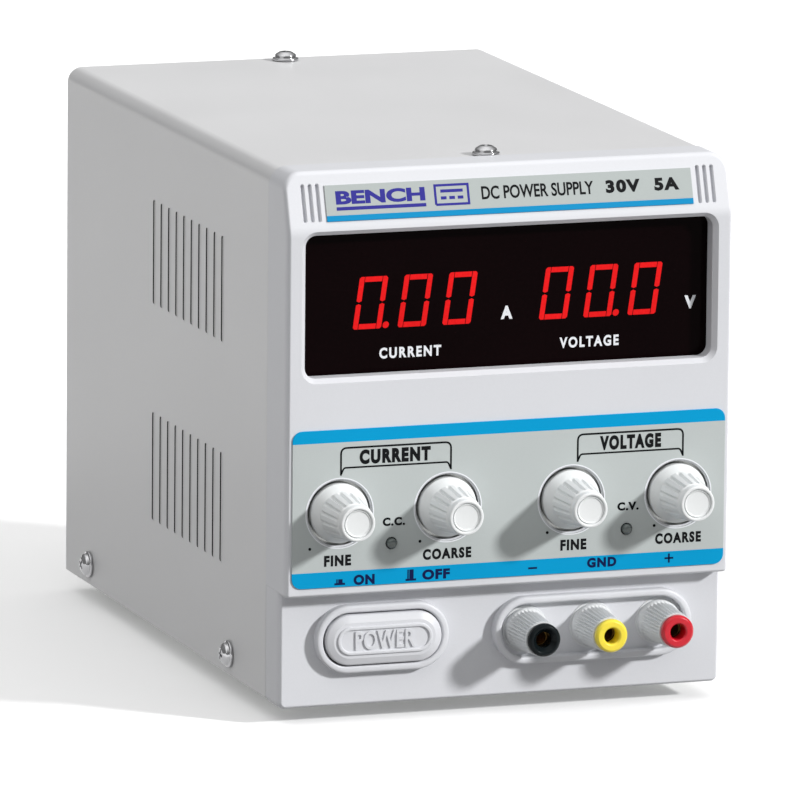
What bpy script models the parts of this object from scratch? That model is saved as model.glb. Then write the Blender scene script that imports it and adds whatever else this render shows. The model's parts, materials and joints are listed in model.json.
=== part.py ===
"""A bench power supply: steel case, moulded front bezel, meters, knobs, binding posts and the parts inside.

Sizes are in millimetres and are scaled to metres when a mesh is made. Places are given in the case's own
frame: X to the right seen from the front, Y from the cover's front edge to the back, Z up from the cover's
lower edge. The empty called "supply" carries that frame to the part's origin, which is the centre of the
bounding box at the height of the feet.
"""

import math

import bmesh
import bpy
from mathutils import Matrix, Vector

MM = 0.001
CLEAR = 0.3  # gap between pieces that touch

# Driving dimensions.
COVER_WIDTH = 135.4
COVER_HEIGHT = 155.0
COVER_DEPTH = 192.0
SHEET = 1.2
FOOT_HEIGHT = 6.0
FOOT_RADIUS = 8.0

BEZEL_HALF = 67.8
BEZEL_TOP = 155.7
BEZEL_BOTTOM = -1.2
FACE_Y = -18.1  # the upper front face
LOWER_FACE_Y = -12.1  # the face around the button and the posts
STEP_Z = 32.5  # where the lower face begins
BROW_Z = 139.0  # where the face starts to lean back
BROW_TOP_Y = -12.5
WALL = 2.7

DISPLAY_HALF = 62.9
DISPLAY_LOW = 95.5
DISPLAY_HIGH = 138.6
WINDOW_Y = -12.2
METERS = {"current_display": -27.1, "voltage_display": 29.5}
METER_SIZE = (38.0, 8.0, 19.6)
METER_Z = 116.7

OVERLAY_HALF = 66.1
OVERLAY_LOW = 35.4
OVERLAY_HIGH = 81.4
OVERLAY_THICK = 0.4

KNOBS = {"current_fine": -51.76, "current_coarse": -18.91, "voltage_coarse": 51.76, "voltage_fine": 18.91}
KNOB_Z = 57.0
KNOB_END_Y = -35.1
KNOB_SINK = 1.2  # how far a knob's back lies below the front face
KNOB_SKIRT_R = 8.75
KNOB_HOLE_R = 9.55
OVERLAY_HOLE_R = 10.0
SHAFT_R = 3.0
SHAFT_SINK = 5.5  # from a knob's end to the end of its shaft

LEDS = {"cc_led": -36.0, "cv_led": 36.0}
LED_Z = 47.4
LED_R = 1.5

BUTTON_X = -37.0
BUTTON_Z = 18.9
BUTTON_SIZE = (35.4, 14.8)
BUTTON_RIM = (40.6, 20.0)
RIM_HEIGHT = 3.0
BUTTON_TRAVEL = 3.5

POSTS = {"negative": 7.4, "ground": 28.0, "positive": 48.4}
POST_Z = 18.3
POST_PAD_X = 27.6
POST_PAD = (61.0, 20.0)
POST_PAD_INNER = (56.6, 15.6)

SCREW_R = 4.0
TOP_SCREWS = {"top_screw_front": 5.0, "top_screw_rear": 186.5}
SIDE_SCREWS = {"front": 33.0, "rear": 168.0}
SIDE_SCREW_Z = 6.3

SLOT_COUNT = 10
SLOT_PITCH = 7.15
SLOT_FIRST_Y = 42.0
SLOT_WIDTH = 1.5
SLOT_ROWS = ((32.0, 64.5), (97.2, 128.4))

PANEL_Y = 190.2  # inner face of the rear panel
PANEL_BACK = PANEL_Y + SHEET
REAR_END_Y = 195.0
FAN_X = 22.0
FAN_Z = 100.0
FAN_SIZE = 60.0
FAN_DEPTH = 20.0
FAN_BORE_R = 28.2
INLET_X = -40.0
INLET_Z = 36.0
SELECTOR_X = 30.0
SELECTOR_Z = 34.0

CASE_Y = -(KNOB_END_Y + REAR_END_Y) / 2  # puts the bounding box's middle at Y = 0


# Outlines, as lists of points in a plane, counter-clockwise.


def rectangle(low, high):
    return [(low[0], low[1]), (high[0], low[1]), (high[0], high[1]), (low[0], high[1])]


def circle(radius, steps, centre=(0.0, 0.0)):
    turn = 2 * math.pi / steps
    return [
        (centre[0] + radius * math.cos(turn * i), centre[1] + radius * math.sin(turn * i))
        for i in range(steps)
    ]


def rounded(low, high, radii, steps=4):
    """A rectangle whose corners have these radii: low left, low right, high right, high left."""
    corners = rectangle(low, high)
    points = []
    for number, (corner, radius) in enumerate(zip(corners, radii)):
        if radius == 0:
            points.append(corner)
            continue
        inward_x = 1 if number in (0, 3) else -1
        inward_z = 1 if number in (0, 1) else -1
        middle = (corner[0] + inward_x * radius, corner[1] + inward_z * radius)
        start = math.pi + number * math.pi / 2
        for i in range(steps + 1):
            angle = start + i * math.pi / 2 / steps
            points.append((middle[0] + radius * math.cos(angle), middle[1] + radius * math.sin(angle)))
    return points


def stadium(size, centre, steps=8):
    """A shape with straight sides and half-round ends."""
    half_x = size[0] / 2
    half_z = size[1] / 2
    points = []
    for side in (1, -1):
        for i in range(steps + 1):
            angle = -side * math.pi / 2 + math.pi * i / steps
            x = side * (half_x - half_z) + half_z * math.cos(angle)
            points.append((centre[0] + x, centre[1] + half_z * math.sin(angle)))
    return points


# Closed meshes.


def closed_mesh(points, faces):
    bm = bmesh.new()
    vertices = [bm.verts.new(Vector(point) * MM) for point in points]
    for face in faces:
        bm.faces.new([vertices[i] for i in face])
    bmesh.ops.recalc_face_normals(bm, faces=bm.faces)
    return bm


def prism(outline, low, high, axis="Y"):
    """The outline run along an axis. Its points are (X, Z) along Y, (Y, Z) along X and (X, Y) along Z."""
    place = {
        "X": lambda p, t: (t, p[0], p[1]),
        "Y": lambda p, t: (p[0], t, p[1]),
        "Z": lambda p, t: (p[0], p[1], t),
    }[axis]
    count = len(outline)
    points = [place(point, low) for point in outline] + [place(point, high) for point in outline]
    faces = [list(range(count)), list(range(count, 2 * count))]
    faces += [[i, (i + 1) % count, count + (i + 1) % count, count + i] for i in range(count)]
    return closed_mesh(points, faces)


def block(low, high):
    return prism(rectangle((low[0], low[2]), (high[0], high[2])), low[1], high[1])


def turned(profile, steps, ring=False, flutes=0.0, flute_rows=()):
    """A profile of (radius, y) turned about the Y axis. A ring's profile closes on itself, away from the axis.

    Every second point of the rows in flute_rows lies nearer to the axis, which makes flutes.
    """
    points = []
    rows = []
    for number, (radius, y) in enumerate(profile):
        if radius == 0:
            rows.append([len(points)])
            points.append((0.0, y, 0.0))
            continue
        row = []
        for i in range(steps):
            angle = 2 * math.pi * i / steps
            reach = radius - (flutes if number in flute_rows and i % 2 else 0.0)
            row.append(len(points))
            points.append((reach * math.cos(angle), y, reach * math.sin(angle)))
        rows.append(row)
    faces = []
    pairs = list(zip(rows, rows[1:]))
    if ring:
        pairs.append((rows[-1], rows[0]))
    for first, second in pairs:
        for i in range(steps):
            j = (i + 1) % steps
            if len(first) == 1:
                faces.append([first[0], second[i], second[j]])
            elif len(second) == 1:
                faces.append([first[i], first[j], second[0]])
            else:
                faces.append([first[i], first[j], second[j], second[i]])
    if not ring:
        faces += [row for row in (rows[0], rows[-1]) if len(row) > 1]
    return closed_mesh(points, faces)


def moved(bm, offset=(0.0, 0.0, 0.0), turn=0.0, axis="Y"):
    """The mesh turned by an angle in degrees about an axis, then moved."""
    matrix = Matrix.Translation(Vector(offset) * MM) @ Matrix.Rotation(math.radians(turn), 4, axis)
    bmesh.ops.transform(bm, matrix=matrix, verts=bm.verts)
    return bm


def joined(pieces):
    """Several closed meshes in one, for cutters."""
    whole = bmesh.new()
    for piece in pieces:
        mesh = bpy.data.meshes.new("piece")
        piece.to_mesh(mesh)
        piece.free()
        whole.from_mesh(mesh)
        bpy.data.meshes.remove(mesh)
    return whole


# Objects.


def clear_scene():
    for obj in list(bpy.data.objects):
        bpy.data.objects.remove(obj, do_unlink=True)


def make_look(name, colour, roughness, metallic=0.0):
    look = bpy.data.materials.new(name)
    look.use_nodes = True
    shader = look.node_tree.nodes["Principled BSDF"]
    shader.inputs["Base Color"].default_value = (*colour, 1.0)
    shader.inputs["Roughness"].default_value = roughness
    shader.inputs["Metallic"].default_value = metallic
    look.diffuse_color = (*colour, 1.0)
    return look


def link_object(name, mesh, parent):
    obj = bpy.data.objects.new(name, mesh)
    bpy.context.scene.collection.objects.link(obj)
    obj.parent = parent
    return obj


def add_part(name, bm, look, place=(0.0, 0.0, 0.0), parent=None):
    """A named node. Its origin is at the place given, in millimetres in its parent's frame."""
    mesh = bpy.data.meshes.new(name)
    bm.to_mesh(mesh)
    bm.free()
    mesh.materials.append(look)
    mesh.shade_smooth()
    mesh.set_sharp_from_angle(angle=math.radians(35))
    obj = link_object(name, mesh, parent or SUPPLY)
    obj.location = Vector(place) * MM
    return obj


def combine(obj, bm, operation):
    """A Boolean with a hidden helper in the object's own frame."""
    mesh = bpy.data.meshes.new(obj.name + "_helper")
    bm.to_mesh(mesh)
    bm.free()
    helper = link_object(mesh.name, mesh, obj)
    helper.hide_render = True
    helper.display_type = "WIRE"
    boolean = obj.modifiers.new(operation.title(), "BOOLEAN")
    boolean.operation = operation
    boolean.solver = "EXACT"
    boolean.object = helper


def cut(obj, bm):
    combine(obj, bm, "DIFFERENCE")


def join(obj, bm):
    combine(obj, bm, "UNION")


def add_copy(name, source, place, parent=None, turn=None):
    """The same mesh in another place."""
    obj = link_object(name, source.data, parent or SUPPLY)
    obj.location = Vector(place) * MM
    if turn:
        obj.rotation_euler = turn
    return obj


clear_scene()
SUPPLY = bpy.data.objects.new("supply", None)
bpy.context.scene.collection.objects.link(SUPPLY)
SUPPLY.location = Vector((0.0, CASE_Y, FOOT_HEIGHT)) * MM

LOOKS = {
    "case": make_look("case", (0.55, 0.55, 0.56), 0.45, 0.0),
    "bezel": make_look("bezel", (0.78, 0.78, 0.8), 0.4),
    "zinc": make_look("zinc", (0.7, 0.7, 0.68), 0.35, 1.0),
    "chrome": make_look("chrome", (0.75, 0.75, 0.76), 0.18, 1.0),
    "overlay": make_look("overlay", (0.5, 0.54, 0.54), 0.5),
    "window": make_look("window", (0.02, 0.006, 0.008), 0.1),
    "black": make_look("black", (0.02, 0.02, 0.022), 0.5),
    "rubber": make_look("rubber", (0.03, 0.03, 0.03), 0.8),
    "knob": make_look("knob", (0.85, 0.85, 0.86), 0.35),
    "cap": make_look("cap", (0.6, 0.62, 0.64), 0.4),
    "red": make_look("red", (0.65, 0.02, 0.03), 0.3),
    "yellow": make_look("yellow", (0.85, 0.72, 0.05), 0.3),
    "board": make_look("board", (0.03, 0.2, 0.08), 0.5),
    "aluminium": make_look("aluminium", (0.6, 0.6, 0.62), 0.35, 1.0),
    "iron": make_look("iron", (0.25, 0.25, 0.27), 0.5, 1.0),
    "tape": make_look("tape", (0.8, 0.6, 0.1), 0.4),
    "brass": make_look("brass", (0.8, 0.6, 0.25), 0.25, 1.0),
    "led": make_look("led", (0.1, 0.03, 0.03), 0.1),
}


# The case.


def add_chassis():
    """The floor, its two side flanges and the rear panel, folded from one sheet."""
    half = COVER_WIDTH / 2 - SHEET - CLEAR
    flange = 14.0
    tray = [
        (-half, 0.0),
        (half, 0.0),
        (half, flange),
        (half - SHEET, flange),
        (half - SHEET, SHEET),
        (-half + SHEET, SHEET),
        (-half + SHEET, flange),
        (-half, flange),
    ]
    chassis = add_part("chassis", prism(tray, CLEAR, PANEL_Y + SHEET / 2), LOOKS["zinc"])
    panel_top = COVER_HEIGHT - SHEET - CLEAR
    panel = rounded((-half, 0.0), (half, panel_top), (0, 0, 3.0, 3.0))
    join(chassis, prism(panel, PANEL_Y, PANEL_BACK))
    low_y = PANEL_Y - 1
    high_y = PANEL_BACK + 1
    openings = [
        prism(circle(FAN_BORE_R - 0.5, 32, (FAN_X, FAN_Z)), low_y, high_y),
        block((INLET_X - 14.0, low_y, INLET_Z - 17.0), (INLET_X + 14.0, high_y, INLET_Z + 17.0)),
        block((SELECTOR_X - 8.0, low_y, SELECTOR_Z - 4.0), (SELECTOR_X + 8.0, high_y, SELECTOR_Z + 4.0)),
    ]
    cut(chassis, joined(openings))


def add_cover():
    """The inverted U that closes the top and both sides, with its ventilation slots."""
    half = COVER_WIDTH / 2
    outer = rounded((-half, 0.0), (half, COVER_HEIGHT), (0, 0, 3.5, 3.5))
    inner = rounded((-half + SHEET, 0.0), (half - SHEET, COVER_HEIGHT - SHEET), (0, 0, 2.3, 2.3))
    # Both outlines start at the lower left corner and end at the upper left one.
    sheet = outer[1:] + [outer[0]] + [inner[0]] + inner[:0:-1]
    cover = add_part("top_cover", prism(sheet, 0.0, COVER_DEPTH), LOOKS["case"])
    slots = []
    for side in (-1, 1):
        inside = side * (half - SHEET - 1)
        outside = side * (half + 1)
        for low, high in SLOT_ROWS:
            for i in range(SLOT_COUNT):
                y = SLOT_FIRST_Y + i * SLOT_PITCH
                slots.append(
                    block(
                        (min(inside, outside), y - SLOT_WIDTH / 2, low),
                        (max(inside, outside), y + SLOT_WIDTH / 2, high),
                    )
                )
    cut(cover, joined(slots))


def add_feet():
    """Four turned rubber feet, narrower at the bottom."""
    profile = [(0, 0), (FOOT_RADIUS - 1, 0), (FOOT_RADIUS, 1.2), (FOOT_RADIUS, FOOT_HEIGHT - CLEAR)]
    profile.append((0, FOOT_HEIGHT - CLEAR))
    first = None
    for name, x, y in (
        ("foot_front_left", -44.0, 36.0),
        ("foot_front_right", 44.0, 36.0),
        ("foot_rear_left", -44.0, 165.0),
        ("foot_rear_right", 44.0, 165.0),
    ):
        place = (x, y, -FOOT_HEIGHT)
        if first is None:
            first = add_part(name, moved(turned(profile, 16), turn=90, axis="X"), LOOKS["rubber"], place)
        else:
            add_copy(name, first, place)


def add_cover_screws():
    """Domed screws with a washer face. The shank stops short of the sheet behind the cover."""
    head = [(0, 0.0), (1.6, 0.0), (2.9, -0.7), (3.4, -1.7), (SCREW_R, -1.9), (SCREW_R, -2.6)]
    head += [(0, -2.6)]
    first = None
    lift = 2.6 + CLEAR
    for name, y in TOP_SCREWS.items():
        place = (0.0, y, COVER_HEIGHT + lift)
        if first is None:
            # The profile runs towards -Y, so turning it about X by 90 degrees points the head up.
            first = add_part(name, moved(turned(head, 16), turn=90, axis="X"), LOOKS["chrome"], place)
        else:
            add_copy(name, first, place)
    for side, word in ((-1, "left"), (1, "right")):
        for where, y in SIDE_SCREWS.items():
            place = (side * (COVER_WIDTH / 2 + lift), y, SIDE_SCREW_Z)
            add_copy(f"side_screw_{word}_{where}", first, place, turn=(0.0, side * math.pi / 2, 0.0))


# The front.


def add_bezel():
    """The moulded front: a shell open at the back, with openings and raised rims."""
    corners = (1.5, 1.5, 5.5, 5.5)
    shape = rounded((-BEZEL_HALF, BEZEL_BOTTOM), (BEZEL_HALF, BEZEL_TOP), corners)
    bezel = add_part("front_bezel", prism(shape, FACE_Y, -CLEAR), LOOKS["bezel"])
    past = BEZEL_HALF + 5
    brow = [
        (FACE_Y - 2, BROW_Z),
        (FACE_Y, BROW_Z),
        (BROW_TOP_Y, BEZEL_TOP),
        (BROW_TOP_Y, BEZEL_TOP + 3),
        (FACE_Y - 2, BEZEL_TOP + 3),
    ]
    cut(bezel, prism(brow, -past, past, "X"))
    cut(bezel, block((-past, FACE_Y - 1, BEZEL_BOTTOM - 1), (past, LOWER_FACE_Y, STEP_Z)))
    room = [
        (1.0, BEZEL_BOTTOM + WALL),
        (LOWER_FACE_Y + WALL, BEZEL_BOTTOM + WALL),
        (LOWER_FACE_Y + WALL, STEP_Z + WALL),
        (FACE_Y + WALL, STEP_Z + WALL),
        (FACE_Y + WALL, BROW_Z - 1),
        (BROW_TOP_Y + WALL, BEZEL_TOP - WALL),
        (1.0, BEZEL_TOP - WALL),
    ]
    cut(bezel, prism(room, -BEZEL_HALF + 2.4, BEZEL_HALF - 2.4, "X"))
    tube = rounded((-DISPLAY_HALF - 1.5, DISPLAY_LOW - 1.5), (DISPLAY_HALF + 1.5, DISPLAY_HIGH + 1.5), (2,) * 4, 2)
    join(bezel, prism(tube, FACE_Y + 0.5 * WALL, WINDOW_Y - CLEAR))
    join(bezel, rim_mesh(BUTTON_RIM, BUTTON_X, BUTTON_Z))
    join(bezel, rim_mesh(POST_PAD, POST_PAD_X, POST_Z))
    for opening in bezel_openings():
        cut(bezel, opening)


def rim_mesh(size, x, z):
    return prism(stadium(size, (x, z)), LOWER_FACE_Y - RIM_HEIGHT, LOWER_FACE_Y + WALL / 2)


def bezel_openings():
    """Every opening in the bezel's front, run well past the wall. The stud holes start inside the posts' recess."""
    front = FACE_Y - 2
    back = LOWER_FACE_Y + WALL + 2
    display = rounded((-DISPLAY_HALF, DISPLAY_LOW), (DISPLAY_HALF, DISPLAY_HIGH), (4,) * 4)
    button = (BUTTON_SIZE[0] + 0.8, BUTTON_SIZE[1] + 0.8)
    openings = [
        prism(display, front, back),
        prism(stadium(button, (BUTTON_X, BUTTON_Z)), front, back),
        prism(stadium(POST_PAD_INNER, (POST_PAD_X, POST_Z)), front, LOWER_FACE_Y),
    ]
    openings += [prism(circle(KNOB_HOLE_R, 24, (x, KNOB_Z)), front, back) for x in KNOBS.values()]
    openings += [prism(circle(LED_R + CLEAR, 12, (x, LED_Z)), front, back) for x in LEDS.values()]
    openings += [prism(circle(3.4, 16, (x, POST_Z)), LOWER_FACE_Y - 1, back) for x in POSTS.values()]
    return openings


def add_front_frame():
    """The steel sub-panel behind the controls, with flanges that reach back to the tray."""
    front = FACE_Y + WALL + CLEAR
    half = BEZEL_HALF - 2.4 - CLEAR
    plate = [
        (-half, front),
        (half, front),
        (half, -CLEAR),
        (half - SHEET, -CLEAR),
        (half - SHEET, front + SHEET),
        (-half + SHEET, front + SHEET),
        (-half + SHEET, -CLEAR),
        (-half, -CLEAR),
    ]
    frame = add_part("front_frame", prism(plate, STEP_Z + WALL + CLEAR, 92.0, "Z"), LOOKS["zinc"])
    holes = [prism(circle(4.3, 16, (x, KNOB_Z)), front - 1, front + 3) for x in KNOBS.values()]
    holes += [prism(circle(LED_R + 0.6, 12, (x, LED_Z)), front - 1, front + 3) for x in LEDS.values()]
    cut(frame, joined(holes))


def add_overlay():
    low_y = FACE_Y - OVERLAY_THICK - 0.05
    low = (-OVERLAY_HALF, OVERLAY_LOW)
    high = (OVERLAY_HALF, OVERLAY_HIGH)
    sheet = prism(rounded(low, high, (2.9,) * 4, 3), low_y, FACE_Y - 0.05)
    overlay = add_part("control_overlay", sheet, LOOKS["overlay"])
    holes = [prism(circle(OVERLAY_HOLE_R, 24, (x, KNOB_Z)), low_y - 1, FACE_Y + 1) for x in KNOBS.values()]
    holes += [prism(circle(LED_R + CLEAR, 12, (x, LED_Z)), low_y - 1, FACE_Y + 1) for x in LEDS.values()]
    cut(overlay, joined(holes))


def add_name_strip():
    """A flat strip laid on the leaning brow."""
    lean = math.atan2(BROW_TOP_Y - FACE_Y, BEZEL_TOP - BROW_Z)
    strip = block((-55.8, -0.4, -5.3), (55.8, -0.05, 5.3))
    middle_z = 146.6
    middle_y = FACE_Y + (middle_z - BROW_Z) * math.tan(lean)
    obj = add_part("name_strip", strip, LOOKS["overlay"], (0.0, middle_y, middle_z))
    obj.rotation_euler = (-lean, 0.0, 0.0)


def add_display():
    """The dark window, the two digit modules behind it and their board."""
    margin = 1.3
    low = (-DISPLAY_HALF - margin, DISPLAY_LOW - margin)
    high = (DISPLAY_HALF + margin, DISPLAY_HIGH + margin)
    add_part("display_window", prism(rectangle(low, high), WINDOW_Y, WINDOW_Y + 1.5), LOOKS["window"])
    module_y = WINDOW_Y + 1.5 + CLEAR
    width, depth, height = METER_SIZE
    for name, x in METERS.items():
        low = (x - width / 2, module_y, METER_Z - height / 2)
        high = (x + width / 2, module_y + depth, METER_Z + height / 2)
        add_part(name, block(low, high), LOOKS["black"])
    board_y = module_y + depth + CLEAR
    low = (-62.0, board_y, 96.0)
    add_part("display_board", block(low, (62.0, board_y + 1.6, 138.0)), LOOKS["board"])


def knob_mesh():
    """A knob with a conical skirt, a fluted grip, an end collar and a sunk end disc, bored for the shaft."""
    back = FACE_Y + KNOB_SINK - KNOB_END_Y
    hole_end = SHAFT_SINK - 0.5
    profile = [
        (0, hole_end),
        (SHAFT_R + CLEAR, hole_end),
        (SHAFT_R + CLEAR, back),
        (KNOB_SKIRT_R, back),
        (KNOB_SKIRT_R, back - 1.8),
        (7.1, back - 5.0),
        (6.9, back - 5.2),
        (5.6, 2.6),
        (5.2, 2.2),
        (5.2, 0.5),
        (4.8, 0.0),
        (4.1, 0.0),
        (3.8, 0.5),
        (0, 0.5),
    ]
    return turned(profile, 32, flutes=0.4, flute_rows=(6, 7))


def add_controls():
    """Each knob rides on a pot shaft, and the shaft turns in its potentiometer."""
    shaft_end = KNOB_END_Y + SHAFT_SINK
    pot_front = FACE_Y + WALL + CLEAR + SHEET + CLEAR
    pot_back = pot_front + 9.0
    bore = SHAFT_R + CLEAR
    bush_end = FACE_Y + KNOB_SINK + CLEAR
    pot = [
        (0, pot_front + 6.5),
        (bore, pot_front + 6.5),
        (bore, bush_end),
        (4.0, bush_end),
        (4.0, pot_front),
        (8.4, pot_front),
        (8.4, pot_back),
        (0, pot_back),
    ]
    knob = shaft = body = None
    for name, x in KNOBS.items():
        place = (x, KNOB_END_Y, KNOB_Z)
        if knob is None:
            knob = add_part(f"{name}_knob", knob_mesh(), LOOKS["knob"], place)
            rod = turned([(0, 0), (SHAFT_R, 0), (SHAFT_R, pot_front + 6.0 - shaft_end), (0, pot_front + 6.0 - shaft_end)], 16)
            shaft = add_part(f"{name}_shaft", rod, LOOKS["aluminium"], (x, shaft_end, KNOB_Z))
            body = add_part(f"{name}_pot", turned(pot, 16), LOOKS["zinc"], (x, 0.0, KNOB_Z))
        else:
            add_copy(f"{name}_knob", knob, place)
            add_copy(f"{name}_shaft", shaft, (x, shaft_end, KNOB_Z))
            add_copy(f"{name}_pot", body, (x, 0.0, KNOB_Z))


def add_leds():
    """3 mm lamps with a domed nose and a flange behind the sub-panel."""
    base = FACE_Y + WALL + CLEAR + SHEET + CLEAR
    nose = FACE_Y - 1.2
    profile = [(0, base + 2), (2.2, base + 2), (2.2, base), (LED_R, base), (LED_R, nose), (1.0, nose - 0.9), (0, nose - 1.2)]
    for name, x in LEDS.items():
        add_part(name, turned(profile, 12), LOOKS["led"], (x, 0.0, LED_Z))


def add_power_button():
    """The push button, the plunger behind it and the latching switch that the plunger works."""
    front = LOWER_FACE_Y - RIM_HEIGHT - 1.5
    back = LOWER_FACE_Y + 3.0
    place = (BUTTON_X, front, BUTTON_Z)
    cap = prism(stadium(BUTTON_SIZE, (0, 0)), 0.0, back - front)
    button = add_part("power_button", cap, LOOKS["bezel"], place)
    ridge = prism(stadium((28.6, 7.7), (0, 0)), -1.0, 1.0)
    join(button, ridge)
    rod = block((-2.5, 0.0, -2.5), (2.5, 15.0, 2.5))
    add_part("switch_plunger", rod, LOOKS["bezel"], (BUTTON_X, back + CLEAR, BUTTON_Z))
    switch_y = back + CLEAR + 15.0 - 8.0
    switch = block((-9.0, 0.0, -7.5), (9.0, 22.0, 7.5))
    body = add_part("power_switch", switch, LOOKS["black"], (BUTTON_X, switch_y, BUTTON_Z))
    cut(body, block((-2.9, -1.0, -2.9), (2.9, 8.0 + BUTTON_TRAVEL + 0.6, 2.9)))


def add_posts():
    """Binding posts: a fixed stud, a coloured end ring that slides on it, and a knurled cap around both."""
    base = LOWER_FACE_Y
    end = base - 17.5
    stud = [
        (0, end + 12.0),
        (2.05, end + 12.0),
        (2.05, end + 5.0),
        (2.6, end + 5.0),
        (2.6, base - 2.2),
        (3.0, base - 2.2),
        (3.0, base + 10.0),
        (0, base + 10.0),
    ]
    ring = [
        (2.3, end),
        (4.5, end),
        (4.85, end + 0.5),
        (4.85, end + 1.8),
        (3.9, end + 2.2),
        (3.9, end + 4.4),
        (2.3, end + 4.4),
    ]
    cap = [
        (4.3, end + 2.5),
        (5.2, end + 2.5),
        (6.0, base - 3.0),
        (6.4, base - 2.6),
        (6.4, base - CLEAR - 0.1),
        (3.4, base - CLEAR - 0.1),
        (3.4, end + 6.0),
        (4.3, end + 5.4),
    ]
    colours = {"negative": "black", "ground": "yellow", "positive": "red"}
    first_stud = first_cap = None
    for name, x in POSTS.items():
        place = (x, 0.0, POST_Z)
        add_part(f"{name}_post_ring", turned(ring, 16, ring=True), LOOKS[colours[name]], place)
        if first_stud is None:
            first_stud = add_part(f"{name}_post_stud", turned(stud, 16), LOOKS["brass"], place)
            knurled = turned(cap, 40, ring=True, flutes=0.35, flute_rows=(1, 2))
            first_cap = add_part(f"{name}_post_cap", knurled, LOOKS["cap"], place)
        else:
            add_copy(f"{name}_post_stud", first_stud, place)
            add_copy(f"{name}_post_cap", first_cap, place)


# The rear.


def add_fan():
    """A 60 mm fan behind the rear panel: frame with struts, rotor, and the wire guard outside."""
    frame_back = PANEL_Y - CLEAR
    frame_front = frame_back - FAN_DEPTH
    half = FAN_SIZE / 2
    place = (FAN_X, frame_front, FAN_Z)
    shell = prism(rounded((-half, -half), (half, half), (3,) * 4, 2), 0.0, FAN_DEPTH)
    frame = add_part("fan_frame", shell, LOOKS["black"], place)
    cut(frame, prism(circle(FAN_BORE_R, 32), -1.0, FAN_DEPTH + 1))
    struts = [prism(circle(12.0, 20), 0.0, 2.4)]
    struts += [moved(block((-1.6, 0.3, 10.0), (1.6, 2.1, FAN_BORE_R + 1)), turn=angle) for angle in (0, 120, 240)]
    for strut in struts:
        join(frame, strut)
    hub_front = 3.2
    hub = turned([(0, hub_front), (11.5, hub_front), (11.5, FAN_DEPTH - 2), (10.5, FAN_DEPTH - 1), (0, FAN_DEPTH - 1)], 20)
    rotor = add_part("fan_rotor", hub, LOOKS["black"], place)
    for i in range(7):
        blade = block((-0.8, -8.5, 10.5), (0.8, 8.5, FAN_BORE_R - 1.2))
        moved(blade, turn=52, axis="Z")
        join(rotor, moved(blade, (0.0, 10.5, 0.0), turn=i * 360 / 7))
    add_fan_guard()


def add_fan_guard():
    """Three wire rings crossed by four wires that end at the fan's corner screws."""
    wire = 1.6
    low = PANEL_BACK + CLEAR
    high = REAR_END_Y
    place = (FAN_X, 0.0, FAN_Z)
    guard = None
    for radius in (10.0, 18.5, 27.0):
        profile = [(radius - wire / 2, low + 1.0), (radius + wire / 2, low + 1.0), (radius + wire / 2, high), (radius - wire / 2, high)]
        hoop = turned(profile, 24, ring=True)
        if guard is None:
            guard = add_part("fan_guard", hoop, LOOKS["chrome"], place)
        else:
            join(guard, hoop)
    reach = FAN_SIZE / math.sqrt(2) - 4.0
    for angle in (45, 135):
        join(guard, moved(block((-reach, low, -1.0), (reach, high - 1.0, 1.0)), turn=angle))


def add_inlet():
    """A mains inlet with three pins in its socket and a fuse drawer above it."""
    outside = PANEL_BACK + CLEAR
    place = (INLET_X, outside, INLET_Z)
    inlet = add_part("mains_inlet", block((-16.0, 0.0, -19.5), (16.0, 2.2, 19.5)), LOOKS["black"], place)
    join(inlet, block((-13.6, -26.0, -16.6), (13.6, 1.0, 16.6)))
    socket = [(-12.2, -13.5), (12.2, -13.5), (12.2, -3.0), (8.2, 1.5), (-8.2, 1.5), (-12.2, -3.0)]
    cut(inlet, joined([prism(socket, -16.0, 4.0), block((-11.8, -22.0, 5.0), (11.8, 4.0, 14.0))]))
    for x, z in ((-7.0, -8.2), (7.0, -8.2), (0.0, -4.2)):
        join(inlet, block((x - 1.0, -18.0, z - 2.0), (x + 1.0, 0.5, z + 2.0)))
    drawer = add_part("fuse_drawer", block((-11.5, -21.0, 5.3), (11.5, 2.2, 13.7)), LOOKS["black"], place)
    cut(drawer, block((-4.0, 0.8, 11.0), (4.0, 4.0, 15.0)))


def add_selector():
    """A slide switch for the mains voltage, behind its window in the panel."""
    front = PANEL_Y - CLEAR
    place = (SELECTOR_X, front, SELECTOR_Z)
    body = add_part("voltage_selector", block((-15.0, -11.0, -7.0), (15.0, 0.0, 7.0)), LOOKS["black"], place)
    cut(body, block((-7.2, -4.0, -3.4), (7.2, 1.0, 3.4)))
    slider = block((-6.8, -3.6, -3.1), (-0.2, 2.6, 3.1))
    add_part("selector_slider", slider, LOOKS["red"], place)


# Inside.


def add_transformer():
    """Laminated core with two windows, and one winding around its middle leg."""
    place = (-18.0, 55.0, SHEET + CLEAR)
    depth = 40.0
    core = add_part("transformer_core", block((-39.0, 0.0, 0.0), (39.0, depth, 65.0)), LOOKS["iron"], place)
    windows = [block((low, -1.0, 13.0), (low + 13.0, depth + 1, 52.0)) for low in (-26.0, 13.0)]
    cut(core, joined(windows))
    winding = block((-25.4, -11.0, 13.4), (25.4, depth + 11.0, 51.6))
    coil = add_part("transformer_coil", winding, LOOKS["tape"], place)
    cut(coil, block((-13.4, -0.4, 10.0), (13.4, depth + 0.4, 55.0)))


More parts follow.
